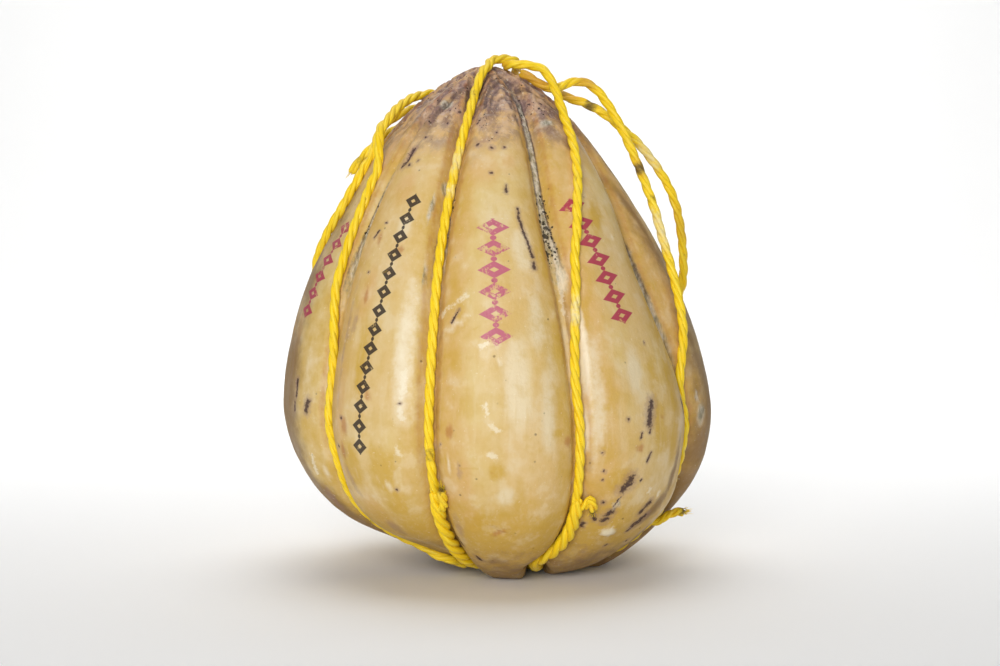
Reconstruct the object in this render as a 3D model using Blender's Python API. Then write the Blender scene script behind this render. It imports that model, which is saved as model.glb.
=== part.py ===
"""A whole provolone cheese in its twine: a leaning pear of cheese, drawn into eight lobes by
the eight strands that it hung and matured in, standing on small flats under its lobes.

Metres, +Z up, the front towards -Y. Places on the cheese are given as a turn round its
centre line, from the front towards +X, and a latitude, from -90 under the base through 0 at
the widest ring to 90 at the tip of the crown.
"""

import math

import bmesh
import bpy
from mathutils import Vector

for leftover in list(bpy.data.objects):
    bpy.data.objects.remove(leftover)

MM = 0.001

# Driving dimensions of the cheese, at the crests of its lobes
WIDEST_RADIUS = 110.8 * MM
WIDEST_HEIGHT = 88 * MM
CROWN_HEIGHT = 262 * MM
SHOULDER_BULGE = 1.5  # the outline over the widest ring is a superellipse of these two powers
SHOULDER_TAPER = 0.6
UNDERSIDE_TAPER = 1.1  # and a slightly sharpened ellipse under it
RINGS = 34
FLAT_RINGS = 4  # rings round the lower pole that are pressed flat by what the cheese stands on
FLAT_LATITUDE = math.radians(90 - FLAT_RINGS * 180 / RINGS)
SETTLED_BY = 1.6 * MM  # how much of the lobes is pressed flat, by the cheese's own weight
UNDERSIDE_DROP = (WIDEST_HEIGHT + SETTLED_BY) / math.sin(FLAT_LATITUDE)

# The centre line leans: the base lies to the right of the widest ring, the shoulder to the left
BASE_SWAY = 13 * MM
BASE_SWAY_FADES_OVER = 24 * MM
SHOULDER_SWAY = -7.5 * MM
SHOULDER_SWAY_HEIGHT = 212 * MM
SHOULDER_SWAY_SPREAD = 85 * MM
CENTRE_X = -0.6 * MM
CENTRE_Y = 0.6 * MM

# Grooves, in order round the cheese: the turn of each at the latitudes in GROOVE_LATITUDES
GROOVE_LATITUDES = (-74, -60, -48, -35, -18, 0, 24, 40, 65)
GROOVE_TURNS = (
    (-112, -100, -96, -96, -95, -95, -94, -92, -90),
    (-80, -57, -61, -60, -54, -53, -51, -48.5, -45),
    (-44, -30, -24.5, -21, -19, -18, -16, -13.5, -10),
    (15, 10, 21, 24, 23.5, 23, 24, 25.5, 34),
    (76, 76, 78, 80, 70, 67, 60, 70, 84),
    (112, 112, 111, 111, 110, 110, 111, 113, 120),
    (164, 164, 163, 163, 162, 162, 162, 163, 166),
    (216, 216, 215, 215, 213, 213, 212, 214, 218),
)
LOBES = len(GROOVE_TURNS)
SEGMENTS_PER_LOBE = 8
COLUMN_SPREAD = 1.85  # over 1 draws the mesh's columns towards the grooves

# Depth of the grooves under the crests, at the latitudes in DEPTH_LATITUDES
DEPTH_LATITUDES = (-90, -69, -60, -50, -20, 20, 50, 68, 82, 90)
GROOVE_DEPTHS_MM = (17.5, 12, 9.2, 8.7, 8.5, 8, 6, 3.5, 0.8, 0)
# How far each lobe's crest lies under that outline, at the latitudes in SINK_LATITUDES
SINK_LATITUDES = (-69, -52, -38, -26, 0, 20, 36, 60)
LOBE_SINKS_MM = (
    (7, 6, 1.5, 0, 0, 1.4, 5.5, 3),
    (8.5, 7, 1.6, 0, 0, 0, 0, 0),
    (1.3, 0.8, 0, 0, 0, 0, 0, 0),
    (3.5, 2.5, 1, 0, 0, 0, 0, 0),
    (0, -0.5, -2, -2.3, -1.8, -1.2, -0.6, 0),
    (0, 0, 0, 0, 0, 0, 0, 0),
    (0, 0, 0, 0, 0, 0, 0, 0),
    (0, 0, 0, 0, 0, 0, 0, 0),
)
FLOOR_HALF_WIDTH = 2.8 * MM
UNDERSIDE_FLOOR_HALF_WIDTH = 4.9 * MM
LOBE_FULLNESS = 3.5  # 2 gives round lobes, more gives steeper sides and flatter crests
UNDERSIDE_FULLNESS = 8
HOLLOW_RADIUS = 17 * MM  # under the base, where the ropes are knotted together
HOLLOW_RIM = 8 * MM

# Twine
STRAND_RADIUS = 2.5 * MM
ROPE_RADIUS = 3.5 * MM  # a strand doubled back and twisted with itself
TAIL_RADIUS = 2.3 * MM
GATHER_RADIUS = 8 * MM  # the gathering knot behind the crown, and half its length
GATHER_HALF_LENGTH = 10 * MM
BASE_KNOT_RADIUS = 9 * MM
BASE_KNOT_HALF_HEIGHT = 4 * MM
KNOT_TURNS = 3  # of twine, seen round a knot, with their slant and their relief
KNOT_WIND = 2.2
KNOT_RELIEF = 0.07
RUNS_IN_AT = -82.5  # latitude where a run under the base reaches the base knot
BITE_GAP = 0.7 * MM  # clear of the cheese
ROPE_GAP = 1.4 * MM  # a doubled strand is stiffer, and lies further off its groove's floor
JOINT_GAP = 1.5 * MM  # between a strand's end and the doubled length
FLOOR_GAP = 0.5 * MM
ROUTE_STEPS = 12  # between two stations, to measure the route
POINT_SPACING = 12.5 * MM
CORD_SIDES_RESOLUTION = 2
MM_PER_DEGREE = 1.75  # of latitude, down the flank
DEGREES_PER_STATION = 8  # of latitude, where a strand or a doubled length follows its groove

YELLOW_TWINE = (0.90, 0.62, 0.03)
CHEESE_RIND = (0.68, 0.52, 0.27)


def smooth_between(edge0, edge1, value):
    """0 under edge0, 1 over edge1, and a smooth rise between."""
    t = min(max((value - edge0) / (edge1 - edge0), 0.0), 1.0)
    return t * t * (3 - 2 * t)


def smooth_curve(knots, values, where):
    """The value of the smooth curve through (knots, values), held level past its ends."""
    if where <= knots[0]:
        return values[0]
    if where >= knots[-1]:
        return values[-1]
    i = max(k for k in range(len(knots) - 1) if knots[k] <= where)

    def slope(k):
        before, after = max(k - 1, 0), min(k + 1, len(knots) - 1)
        return (values[after] - values[before]) / (knots[after] - knots[before])

    span = knots[i + 1] - knots[i]
    t = (where - knots[i]) / span
    return (
        (1 + 2 * t) * (1 - t) ** 2 * values[i]
        + t * (1 - t) ** 2 * span * slope(i)
        + t * t * (3 - 2 * t) * values[i + 1]
        + t * t * (t - 1) * span * slope(i + 1)
    )


def centre_line(height):
    """Where the leaning centre line is at a height."""
    base = BASE_SWAY * math.exp(-max(height, 0) / BASE_SWAY_FADES_OVER)
    spread = (height - SHOULDER_SWAY_HEIGHT) / SHOULDER_SWAY_SPREAD
    sway = base + SHOULDER_SWAY * math.exp(-spread * spread)
    return CENTRE_X + sway, CENTRE_Y


def crest_outline(latitude):
    """Radius and height of the lobes' crests at a latitude in degrees."""
    rise = math.sin(math.radians(latitude))
    if rise >= 0:
        narrowing = max(1 - rise**SHOULDER_BULGE, 0) ** SHOULDER_TAPER
        return (
            WIDEST_RADIUS * narrowing,
            WIDEST_HEIGHT + (CROWN_HEIGHT - WIDEST_HEIGHT) * rise,
        )
    narrowing = max(math.cos(math.radians(latitude)), 0) ** UNDERSIDE_TAPER
    return WIDEST_RADIUS * narrowing, WIDEST_HEIGHT + UNDERSIDE_DROP * rise


def outward(latitude):
    """The outline's outward direction, as its share along the radius and its share upwards."""
    if abs(latitude) > 89:
        return 0.0, math.copysign(1.0, latitude)
    r0, z0 = crest_outline(latitude - 0.5)
    r1, z1 = crest_outline(latitude + 0.5)
    length = math.hypot(r1 - r0, z1 - z0)
    return (z1 - z0) / length, (r0 - r1) / length


def groove_turn(groove, latitude):
    """The turn, in degrees, of a groove's floor at a latitude; groove 8 is groove 0 again."""
    laps, which = divmod(groove, LOBES)
    return 360 * laps + smooth_curve(GROOVE_LATITUDES, GROOVE_TURNS[which], latitude)


def sink(turn, latitude):
    """How far the surface lies under the crests' outline, from the lobes and grooves."""
    depth = smooth_curve(DEPTH_LATITUDES, GROOVE_DEPTHS_MM, latitude) * MM
    turns = [groove_turn(g, latitude) for g in range(LOBES + 1)]
    turn = turns[0] + (turn - turns[0]) % 360
    lobe = max(g for g in range(LOBES) if turns[g] <= turn)
    radius = max(crest_outline(latitude)[0], 1 * MM)
    half_width = math.radians(turns[lobe + 1] - turns[lobe]) * radius / 2
    to_groove = min(turn - turns[lobe], turns[lobe + 1] - turn)
    from_groove = math.radians(to_groove) * radius
    under = smooth_between(-40, -65, latitude)
    floor = FLOOR_HALF_WIDTH + (UNDERSIDE_FLOOR_HALF_WIDTH - FLOOR_HALF_WIDTH) * under
    if half_width <= floor:
        return depth
    across = min(max((from_groove - floor) / (half_width - floor), 0), 1)
    bulge = 1 - (1 - across) ** (LOBE_FULLNESS + (UNDERSIDE_FULLNESS - LOBE_FULLNESS) * under)
    if latitude < 0:
        bulge *= smooth_between(HOLLOW_RADIUS, HOLLOW_RADIUS + HOLLOW_RIM, radius)
    crest = smooth_curve(SINK_LATITUDES, LOBE_SINKS_MM[lobe], latitude) * MM
    return depth * (1 - bulge) + crest * bulge


def place(turn, latitude, out):
    """The point this far out from the crests' outline, at a turn and a latitude."""
    radius, height = crest_outline(latitude)
    along, up = outward(latitude)
    x, y = centre_line(height)
    radius = radius + out * along
    turn = math.radians(turn)
    return Vector((x + radius * math.sin(turn), y - radius * math.cos(turn), height + out * up))


def surface(turn, latitude):
    """The cheese's surface, flattened where it stands."""
    point = place(turn, latitude, -sink(turn, latitude))
    point.z = max(point.z, 0.0)
    return point


def resting(turn, latitude, radius, gap=BITE_GAP):
    """The centre of a cord of this radius that rests on the cheese, in a groove or over it."""
    clear = radius + gap
    girth = max(crest_outline(latitude)[0], 8 * MM)
    out = -1.0
    for step in range(-4, 5):
        aside = clear * step / 4
        height = -sink(turn + math.degrees(aside / girth), latitude)
        out = max(out, height + math.sqrt(max(clear * clear - aside * aside, 0)))
    point = place(turn, latitude, out)
    point.z = max(point.z, radius + FLOOR_GAP)
    return point


def material(name, colour, roughness):
    made = bpy.data.materials.new(name)
    made.use_nodes = True
    shader = made.node_tree.nodes["Principled BSDF"]
    shader.inputs["Base Color"].default_value = (*colour, 1)
    shader.inputs["Roughness"].default_value = roughness
    shader.inputs["Metallic"].default_value = 0.0
    return made


def add_object(name, data, made_of):
    thing = bpy.data.objects.new(name, data)
    data.materials.append(made_of)
    cheese_parts.objects.link(thing)
    return thing


def add_cheese():
    """A sphere whose rings and columns are moved to the pear's latitudes and to its grooves."""
    bm = bmesh.new()
    segments = LOBES * SEGMENTS_PER_LOBE
    bmesh.ops.create_uvsphere(bm, u_segments=segments, v_segments=RINGS, radius=1)
    for vertex in bm.verts:
        latitude = math.degrees(math.asin(min(max(vertex.co.z, -1), 1)))
        column = math.atan2(vertex.co.x, -vertex.co.y) / math.tau * LOBES % LOBES
        lobe = int(column + 1e-4) % LOBES
        along = max(column - lobe, 0) if column < LOBES - 1e-4 else 0
        side = 2 * along - 1
        eased = 1 - (1 - abs(side)) ** COLUMN_SPREAD
        along = 0.5 + math.copysign(eased, side) / 2
        start, end = groove_turn(lobe, latitude), groove_turn(lobe + 1, latitude)
        vertex.co = surface(start + (end - start) * along, latitude)
    mesh = bpy.data.meshes.new("cheese")
    bm.to_mesh(mesh)
    bm.free()
    mesh.shade_smooth()
    add_object("cheese", mesh, material("rind", CHEESE_RIND, 0.42))


def smooth_route(stations):
    """Evenly spaced points on the smooth curve through the stations."""
    ends = [2 * stations[0] - stations[1], *stations, 2 * stations[-1] - stations[-2]]
    fine = []
    for a, b, c, d in zip(ends, ends[1:], ends[2:], ends[3:]):
        for step in range(ROUTE_STEPS):
            t = step / ROUTE_STEPS
            fine.append(
                0.5 * (2 * b + (c - a) * t + (2 * a - 5 * b + 4 * c - d) * t**2
                       + (3 * b - a - 3 * c + d) * t**3)
            )
    fine.append(stations[-1].copy())
    lengths = [0.0]
    for a, b in zip(fine, fine[1:]):
        lengths.append(lengths[-1] + (b - a).length)
    count = max(round(lengths[-1] / POINT_SPACING), 1)
    points, i = [], 0
    for n in range(count + 1):
        wanted = lengths[-1] * n / count
        while i < len(lengths) - 2 and lengths[i + 1] < wanted:
            i += 1
        share = (wanted - lengths[i]) / (lengths[i + 1] - lengths[i])
        points.append(fine[i].lerp(fine[i + 1], min(share, 1)))
    return points


def add_cord(name, points, radius, made_of):
    curve = bpy.data.curves.new(name, "CURVE")
    curve.dimensions = "3D"
    spline = curve.splines.new("POLY")
    spline.points.add(len(points) - 1)
    for control, point in zip(spline.points, points):
        control.co = (*point, 1)
    curve.bevel_depth = radius
    curve.bevel_resolution = CORD_SIDES_RESOLUTION
    curve.use_fill_caps = True
    add_object(name, curve, made_of)


def in_groove(groove, top, bottom, steps, radius, gap=BITE_GAP):
    """Stations down a groove from one latitude to another."""
    latitudes = [top + (bottom - top) * n / steps for n in range(steps + 1)]
    return [resting(groove_turn(groove, at), at, radius, gap) for at in latitudes]


def with_middles(places):
    """The places, and one halfway between each two."""
    found = [places[0]]
    for here, there in zip(places, places[1:]):
        found += [((here[0] + there[0]) / 2, (here[1] + there[1]) / 2), there]
    return found


def over_surface(*places):
    """Stations where a strand lies on the cheese."""
    return [resting(turn, at, STRAND_RADIUS) for turn, at in with_middles(places)]


def over_crests(*places):
    """Stations where a taut strand bridges the grooves from lobe to lobe."""
    out = STRAND_RADIUS + BITE_GAP
    return [place(turn, at, out) for turn, at in with_middles(places)]


def in_space(*points_mm):
    return [Vector(point) * MM for point in points_mm]


def add_knot(name, centre, along, radius, half_length, made_of):
    """A tight knot: an egg along the cord, with the turns of the twine winding round it."""
    bm = bmesh.new()
    bmesh.ops.create_uvsphere(bm, u_segments=12, v_segments=9, radius=1)
    turn = along.to_track_quat("Z", "Y")
    for vertex in bm.verts:
        unit = vertex.co.copy()
        wind = math.atan2(unit.y, unit.x) + KNOT_WIND * unit.z
        swell = 1 - KNOT_RELIEF + KNOT_RELIEF * math.cos(KNOT_TURNS * wind) * (1 - unit.z**2)
        shaped = Vector((unit.x * radius * swell, unit.y * radius * swell, unit.z * half_length))
        vertex.co = centre + turn @ shaped
    mesh = bpy.data.meshes.new(name)
    bm.to_mesh(mesh)
    bm.free()
    mesh.shade_smooth()
    add_object(name, mesh, made_of)


def add_tail(name, groove, latitude, steps, made_of):
    """The cut end of a doubled length: steps of (aside, up, off the cheese), from the joint."""
    stations = []
    for aside, up, off in steps:
        at = latitude + up / MM_PER_DEGREE
        turn = groove_turn(groove, at) + math.degrees(aside * MM / crest_outline(at)[0])
        stations.append(resting(turn, at, TAIL_RADIUS) + (place(turn, at, off * MM) - place(turn, at, 0)))
    add_cord(name, stations, TAIL_RADIUS, made_of)


def add_harness(twine):
    """Eight strands from the gathering knot behind the crown, down to the knot under the base.

    Four of them are doubled back on themselves under the base, up to a cut end on the flank.
    """
    gather = place(176, 60, GATHER_RADIUS + 2 * MM)
    add_knot("crown_knot", gather, Vector((1, 0, 0)), GATHER_RADIUS, GATHER_HALF_LENGTH, twine)
    base_x, base_y = centre_line(0)
    base_knot = Vector((base_x, base_y, BASE_KNOT_HALF_HEIGHT + FLOOR_GAP))
    add_knot("base_knot", base_knot, Vector((0, 0, 1)), BASE_KNOT_RADIUS, BASE_KNOT_HALF_HEIGHT, twine)

    def from_gather(*offset_mm):
        return [gather + Vector(offset_mm) * MM]

    crown_stations = {
        1: from_gather(9, -7, 6)
        + in_space((9.5, 20, 260), (9.5, 6.5, 264), (3, 0.5, 265.4), (-3.4, -7.5, 264),
                   (-5.2, -13.5, 261), (-8.2, -20.5, 257.2))
        + over_surface((-10, 67)),
        2: in_space((8.5, -4.5, 262.4), (15.8, -5, 261.8), (23.6, -11.5, 258.8), (29, -17.5, 249.2))
        + over_surface((56, 55), (44, 44), (36, 36), (29.5, 27), (26, 18)),
        3: from_gather(-8, -8, 5)
        + over_crests((-150, 65), (-128, 65), (-106, 63.5), (-88, 60), (-75, 56), (-66, 51.5))
        + over_surface((-59, 45), (-56, 38), (-55, 30), (-54.5, 20)),
        4: from_gather(-12.6, 0, 1.5)
        + over_crests((-154, 60), (-132, 60.5), (-112, 58), (-98, 53.5))
        + over_surface((-87, 48), (-79, 42), (-79, 36), (-86, 29), (-92, 22)),
        5: in_space((17, -10, 255), (24, -11, 250.8), (30.5, -8.5, 250.2), (35.5, -4.5, 252.4),
                    (42, -2, 253.6), (49, -3, 250.8), (56.5, -6, 241.8), (67, -12, 221.8),
                    (78.5, -20, 192.6), (83.6, -25, 174.2), (88.6, -30.4, 156), (92.4, -35.8, 138), (93.6, -38, 123)),
        6: from_gather(12.6, 1, 1)
        + in_space((17, 27, 249.5), (23, 14, 251.6), (29, 6.5, 249.4), (36, 4.5, 245.6), (45, 3.5, 242.6),
                   (55.5, 4, 237), (64, 6, 230), (74, 7, 221), (84.6, 10, 207.4), (91.6, 12, 194.6),
                   (96.4, 15, 178), (98.4, 21, 160), (98, 28.4, 139.5)),
        7: from_gather(5, 7, -8) + over_surface((168, 50), (164, 42)),
        8: from_gather(-6, 7, -8) + over_surface((-162, 50), (-150, 42)),
    }
    grooves = {1: 2, 2: 3, 3: 1, 4: 0, 5: 4, 6: 5, 7: 6, 8: 7}
    settles_at = {1: 64, 2: 8, 3: 8, 4: 14, 5: 4, 6: 15, 7: 34, 8: 34}
    doubled_from = {1: -24, 2: -27, 5: -33, 7: -27}
    leaves_groove_at = {3: -44}
    beneath = {3: over_surface((-59, -51), (-53, -56.5), (-46, -60.5), (-50, -66), (-65, -70), (-78, -74.5), (-80, -82))}
    tails = {
        1: ((6.2, -5.5, 0.4), (6.2, -1, 0.9), (5.6, 3.5, 0.4)),
        2: ((5.6, 3.5, 0.4), (6.6, 0.5, 1.4), (7, -3, 1.8)),
        5: ((6.4, -11, 0.4), (6.6, -6.5, 2), (6.8, -2, 5), (7, 1, 8)),
        7: ((-6.2, -1, 0.4), (-6, 3.5, 1.2), (-7, 7.5, 2.2)),
    }
    for strand, groove in grooves.items():
        settle = settles_at[strand]
        bottom = doubled_from.get(strand, leaves_groove_at.get(strand, RUNS_IN_AT))
        steps = round((settle - bottom) / DEGREES_PER_STATION)
        stations = crown_stations[strand] + in_groove(groove, settle, bottom, steps, STRAND_RADIUS)
        stations += beneath.get(strand, [])
        add_cord(f"strand_{strand}", smooth_route(stations), STRAND_RADIUS, twine)
        if strand in doubled_from:
            top = bottom - JOINT_GAP / MM / MM_PER_DEGREE
            rope_steps = round((top - RUNS_IN_AT) / DEGREES_PER_STATION)
            rope = in_groove(groove, top, RUNS_IN_AT, rope_steps, ROPE_RADIUS, ROPE_GAP)
            add_cord(f"rope_{strand}", smooth_route(rope), ROPE_RADIUS, twine)
            add_tail(f"tail_{strand}", groove, bottom, tails[strand], twine)
    beside_strand_4 = from_gather(-11, 6, -4) + over_crests(
        (-158, 56), (-138, 56), (-120, 53), (-109, 48), (-102, 42)
    )
    add_cord("spare_end", smooth_route(beside_strand_4), STRAND_RADIUS, twine)


cheese_parts = bpy.data.collections.new("provolone_cheese")
bpy.context.scene.collection.children.link(cheese_parts)
add_cheese()
add_harness(material("twine", YELLOW_TWINE, 0.5))
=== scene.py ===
"""A whole provolone cheese in the twine that it hung and matured in: its finished look."""

import math
import random

import bmesh
import bpy
import numpy as np
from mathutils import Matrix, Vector, noise


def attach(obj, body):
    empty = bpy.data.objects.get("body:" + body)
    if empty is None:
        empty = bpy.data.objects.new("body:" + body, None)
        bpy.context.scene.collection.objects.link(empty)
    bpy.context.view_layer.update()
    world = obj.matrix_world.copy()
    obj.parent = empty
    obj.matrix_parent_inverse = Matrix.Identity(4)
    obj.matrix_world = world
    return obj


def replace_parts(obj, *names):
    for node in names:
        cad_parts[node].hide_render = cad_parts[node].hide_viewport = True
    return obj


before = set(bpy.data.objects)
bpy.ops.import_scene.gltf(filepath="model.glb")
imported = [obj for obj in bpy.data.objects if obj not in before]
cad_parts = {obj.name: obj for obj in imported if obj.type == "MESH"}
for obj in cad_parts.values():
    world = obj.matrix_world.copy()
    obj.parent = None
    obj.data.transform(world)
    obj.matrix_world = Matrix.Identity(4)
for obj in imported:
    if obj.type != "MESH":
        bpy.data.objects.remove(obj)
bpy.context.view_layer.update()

MM = 0.001


# ---- The camera -------------------------------------------------------------------------------
# A long lens a little over a metre away and a hand above the middle of the cheese, looking
# slightly down on its front.

CAMERA_DISTANCE = 1.15
CAMERA_ELEVATION = math.radians(4.5)
CAMERA_TARGET = Vector((0.001, 0, 0.123))
CAMERA_LENS_MM = 79.2
SENSOR_MM = 36


def look_from(thing, target, distance, azimuth, elevation):
    """Puts a camera or a light round a target, azimuth 0 in front of it, and aims it there."""
    out = Vector((math.sin(azimuth) * math.cos(elevation),
                  -math.cos(azimuth) * math.cos(elevation), math.sin(elevation)))
    thing.location = target + out * distance
    thing.rotation_euler = (-out).to_track_quat("-Z", "Y").to_euler()


camera = bpy.data.objects.new("camera", bpy.data.cameras.new("camera"))
camera.data.lens = CAMERA_LENS_MM
camera.data.sensor_width = SENSOR_MM
look_from(camera, CAMERA_TARGET, CAMERA_DISTANCE, 0, CAMERA_ELEVATION)
bpy.context.scene.collection.objects.link(camera)
bpy.context.scene.camera = camera
bpy.context.scene.view_settings.view_transform = "Standard"


# ---- The studio -------------------------------------------------------------------------------
# A plain white floor that curves up behind, one large soft light in front and a weaker one on
# each side. None of it belongs to the object.

FLOOR_HALF_WIDTH = 3.0
FLOOR_FRONT = 2.2
FLOOR_BACK = 1.6
SWEEP_RADIUS = 1.2
SWEEP_STEPS = 24
BACKDROP_HEIGHT = 3.0
FLOOR_COLOUR = (0.93, 0.93, 0.925)


def link(thing):
    bpy.context.scene.collection.objects.link(thing)
    return thing


def make_floor():
    bm = bmesh.new()
    start = [bm.verts.new((x, -FLOOR_FRONT, -0.0004)) for x in (-FLOOR_HALF_WIDTH, FLOOR_HALF_WIDTH)]
    edge = bm.edges.new(start)
    profile = [(0, FLOOR_BACK + FLOOR_FRONT, 0)]
    step = math.pi / 2 / SWEEP_STEPS
    for n in range(SWEEP_STEPS):
        a, b = n * step, (n + 1) * step
        profile.append((0, SWEEP_RADIUS * (math.sin(b) - math.sin(a)),
                        SWEEP_RADIUS * (math.cos(a) - math.cos(b))))
    profile.append((0, 0, BACKDROP_HEIGHT - SWEEP_RADIUS))
    edges = [edge]
    for move in profile:
        new = bmesh.ops.extrude_edge_only(bm, edges=edges)["geom"]
        verts = [v for v in new if isinstance(v, bmesh.types.BMVert)]
        edges = [e for e in new if isinstance(e, bmesh.types.BMEdge)]
        bmesh.ops.translate(bm, verts=verts, vec=move)
    mesh = bpy.data.meshes.new("studio_floor")
    bm.to_mesh(mesh)
    bm.free()
    mesh.shade_smooth()
    paint = bpy.data.materials.new("studio_white")
    paint.use_nodes = True
    shader = paint.node_tree.nodes["Principled BSDF"]
    shader.inputs["Base Color"].default_value = (*FLOOR_COLOUR, 1)
    shader.inputs["Roughness"].default_value = 0.9
    mesh.materials.append(paint)
    floor = link(bpy.data.objects.new("studio_floor", mesh))


def add_light(name, watts, size, azimuth, elevation, distance, target=CAMERA_TARGET):
    data = bpy.data.lights.new(name, "AREA")
    data.shape = "DISK"
    data.size = size
    data.energy = watts
    light = link(bpy.data.objects.new(name, data))
    look_from(light, target, distance, math.radians(azimuth), math.radians(elevation))


make_floor()
add_light("front_light", 24, 0.9, -9, 15, 1.9)
add_light("left_light", 0.9, 1.2, -70, 25, 2.0)
add_light("right_light", 0.6, 1.2, 70, 20, 2.2)
add_light("backdrop_light", 34, 2.4, 0, 38, 2.6, Vector((0, 3.0, 0.1)))
add_light("overhead_light", 24, 2.2, 0, 89, 2.6, Vector((0, 0.2, 0)))
world = bpy.data.worlds.new("studio_air")
world.use_nodes = True
world.node_tree.nodes["Background"].inputs["Color"].default_value = (1.0, 1.0, 1.0, 1)
world.node_tree.nodes["Background"].inputs["Strength"].default_value = 0.13
bpy.context.scene.world = world


# ---- The cheese -------------------------------------------------------------------------------
# A six-kilogram pear of stretched curd. It hung in its twine while it was soft, so the strands
# have drawn it into eight lobes, and it has since dried, browned at the crown and gone mouldy in
# its grooves. Places on it are a turn round its centre line, from the front towards +X, and a
# latitude: -90 under the base, 0 at the widest ring, 90 at the tip of the crown.

WIDEST_RADIUS = 110.8 * MM
WIDEST_HEIGHT = 88 * MM
CROWN_HEIGHT = 262 * MM
SHOULDER_BULGE = 1.5
SHOULDER_TAPER = 0.6
UNDERSIDE_TAPER = 1.1
FLAT_LATITUDE = math.radians(90 - 4 * 180 / 34)
SETTLED_BY = 1.6 * MM
UNDERSIDE_DROP = (WIDEST_HEIGHT + SETTLED_BY) / math.sin(FLAT_LATITUDE)
BASE_SWAY = 13 * MM
BASE_SWAY_FADES_OVER = 24 * MM
SHOULDER_SWAY = -7.5 * MM
SHOULDER_SWAY_HEIGHT = 212 * MM
SHOULDER_SWAY_SPREAD = 85 * MM
CENTRE_X = -0.6 * MM
CENTRE_Y = 0.6 * MM
GROOVE_LATITUDES = (-74, -60, -48, -35, -18, 0, 24, 40, 65)
GROOVE_TURNS = (
    (-112, -100, -96, -96, -95, -95, -94, -92, -90),
    (-80, -57, -61, -60, -54, -53, -51, -48.5, -45),
    (-44, -30, -24.5, -21, -19, -18, -16, -13.5, -10),
    (15, 10, 21, 24, 23.5, 23, 24, 25.5, 34),
    (76, 76, 78, 80, 70, 67, 60, 70, 84),
    (112, 112, 111, 111, 110, 110, 111, 113, 120),
    (164, 164, 163, 163, 162, 162, 162, 163, 166),
    (216, 216, 215, 215, 213, 213, 212, 214, 218),
)
LOBES = len(GROOVE_TURNS)
DEPTH_LATITUDES = (-90, -69, -60, -50, -20, 20, 50, 68, 82, 90)
GROOVE_DEPTHS_MM = (17.5, 12, 9.2, 8.7, 8.5, 8, 6, 3.5, 0.8, 0)
SINK_LATITUDES = (-69, -52, -38, -26, 0, 20, 36, 60)
LOBE_SINKS_MM = (
    (7, 6, 1.5, 0, 0, 1.4, 5.5, 3),
    (8.5, 7, 1.6, 0, 0, 0, 0, 0),
    (1.3, 0.8, 0, 0, 0, 0, 0, 0),
    (3.5, 2.5, 1, 0, 0, 0, 0, 0),
    (0, -0.5, -2, -2.3, -1.8, -1.2, -0.6, 0),
    (0, 0, 0, 0, 0, 0, 0, 0),
    (0, 0, 0, 0, 0, 0, 0, 0),
    (0, 0, 0, 0, 0, 0, 0, 0),
)
FLOOR_WIDTH = 2.8 * MM  # half of a groove's floor, and the same under the base
UNDERSIDE_FLOOR_WIDTH = 4.9 * MM
LOBE_FULLNESS = 3.5
UNDERSIDE_FULLNESS = 8
HOLLOW_RADIUS = 17 * MM
HOLLOW_RIM = 8 * MM

# The skin's finer shape
COLUMNS_PER_LOBE = 48
COLUMN_SPREAD = 1.5
RINGS = 244
RING_PLACES = (-1, -0.86, -0.35, 0.2, 1)  # from pole to pole
RING_LATITUDES = (-90, -72, -14, 49, 90)
CHANNEL_DEPTH = 1.1 * MM  # cut by the twine into a groove's floor
CHANNEL_WIDTH = 4.6 * MM
CHANNEL_WALL = 1.3 * MM
LIP_HEIGHT = 0.5 * MM
LIP_WIDTH = 5 * MM
SWELLS = 1.1 * MM
DENTS = 0.3 * MM
CROWN_FOLDS = 1.5 * MM
CROWN_WRINKLES = 0.8 * MM
CRUST = 0.45 * MM
CHIP = (38.3, -38.7)  # a flake of old wax that stands up: where, its radius and height
CHIP_RADIUS = 4.4 * MM
CHIP_HEIGHT = 0.9 * MM
CREASES = (  # (turn, latitude) from end to end, depth and half width in mm
    (((5, 61), (8, 66), (17, 68.5), (22, 65), (24, 60)), 0.8, 0.9),
    (((1, 61), (2, 64), (7, 69), (18, 71.5), (28, 68), (29, 62)), 1.0, 1.0),
    (((-3, 63), (0, 67), (7, 72), (24, 74), (32, 69), (33, 64)), 0.8, 0.9),
    (((-8, 66), (-6, 71), (4, 75.5), (30, 77), (40, 72)), 1.0, 1.1),
    (((9, 60), (13, 64), (18, 64.5), (21, 60)), 0.7, 0.9),
    (((36, 76), (36, 70), (50, 67), (62, 62), (68, 56)), 1.1, 1.2),
    (((-37, 46), (-35, 52), (-33, 59), (-28, 64), (-20, 70)), 1.2, 1.3),
    (((-24, 74), (-17, 68), (-14, 62)), 0.8, 1.1),
    (((-52, 66), (-44, 61), (-41, 54)), 0.7, 1.2),
    (((62, 72), (80, 66), (92, 58)), 1.1, 1.4),
    (((34, 77), (26, 66), (22.5, 58), (22.5, 50)), 1.0, 0.9),
    (((-3.6, -33.6), (0, -36), (3.6, -38.2)), 0.7, 1.1),
    (((120, 70), (132, 62), (136, 54)), 1.0, 1.3), (((196, 72), (190, 63), (197, 54)), 1.0, 1.3),
    (((240, 70), (232, 60), (246, 52)), 0.9, 1.2), (((262, 74), (276, 66), (280, 56)), 1.0, 1.3),
)


def smooth_between(edge0, edge1, value):
    """0 under edge0, 1 over edge1, and a smooth rise between."""
    t = np.clip((value - edge0) / (edge1 - edge0), 0, 1)
    return t * t * (3 - 2 * t)


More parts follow.
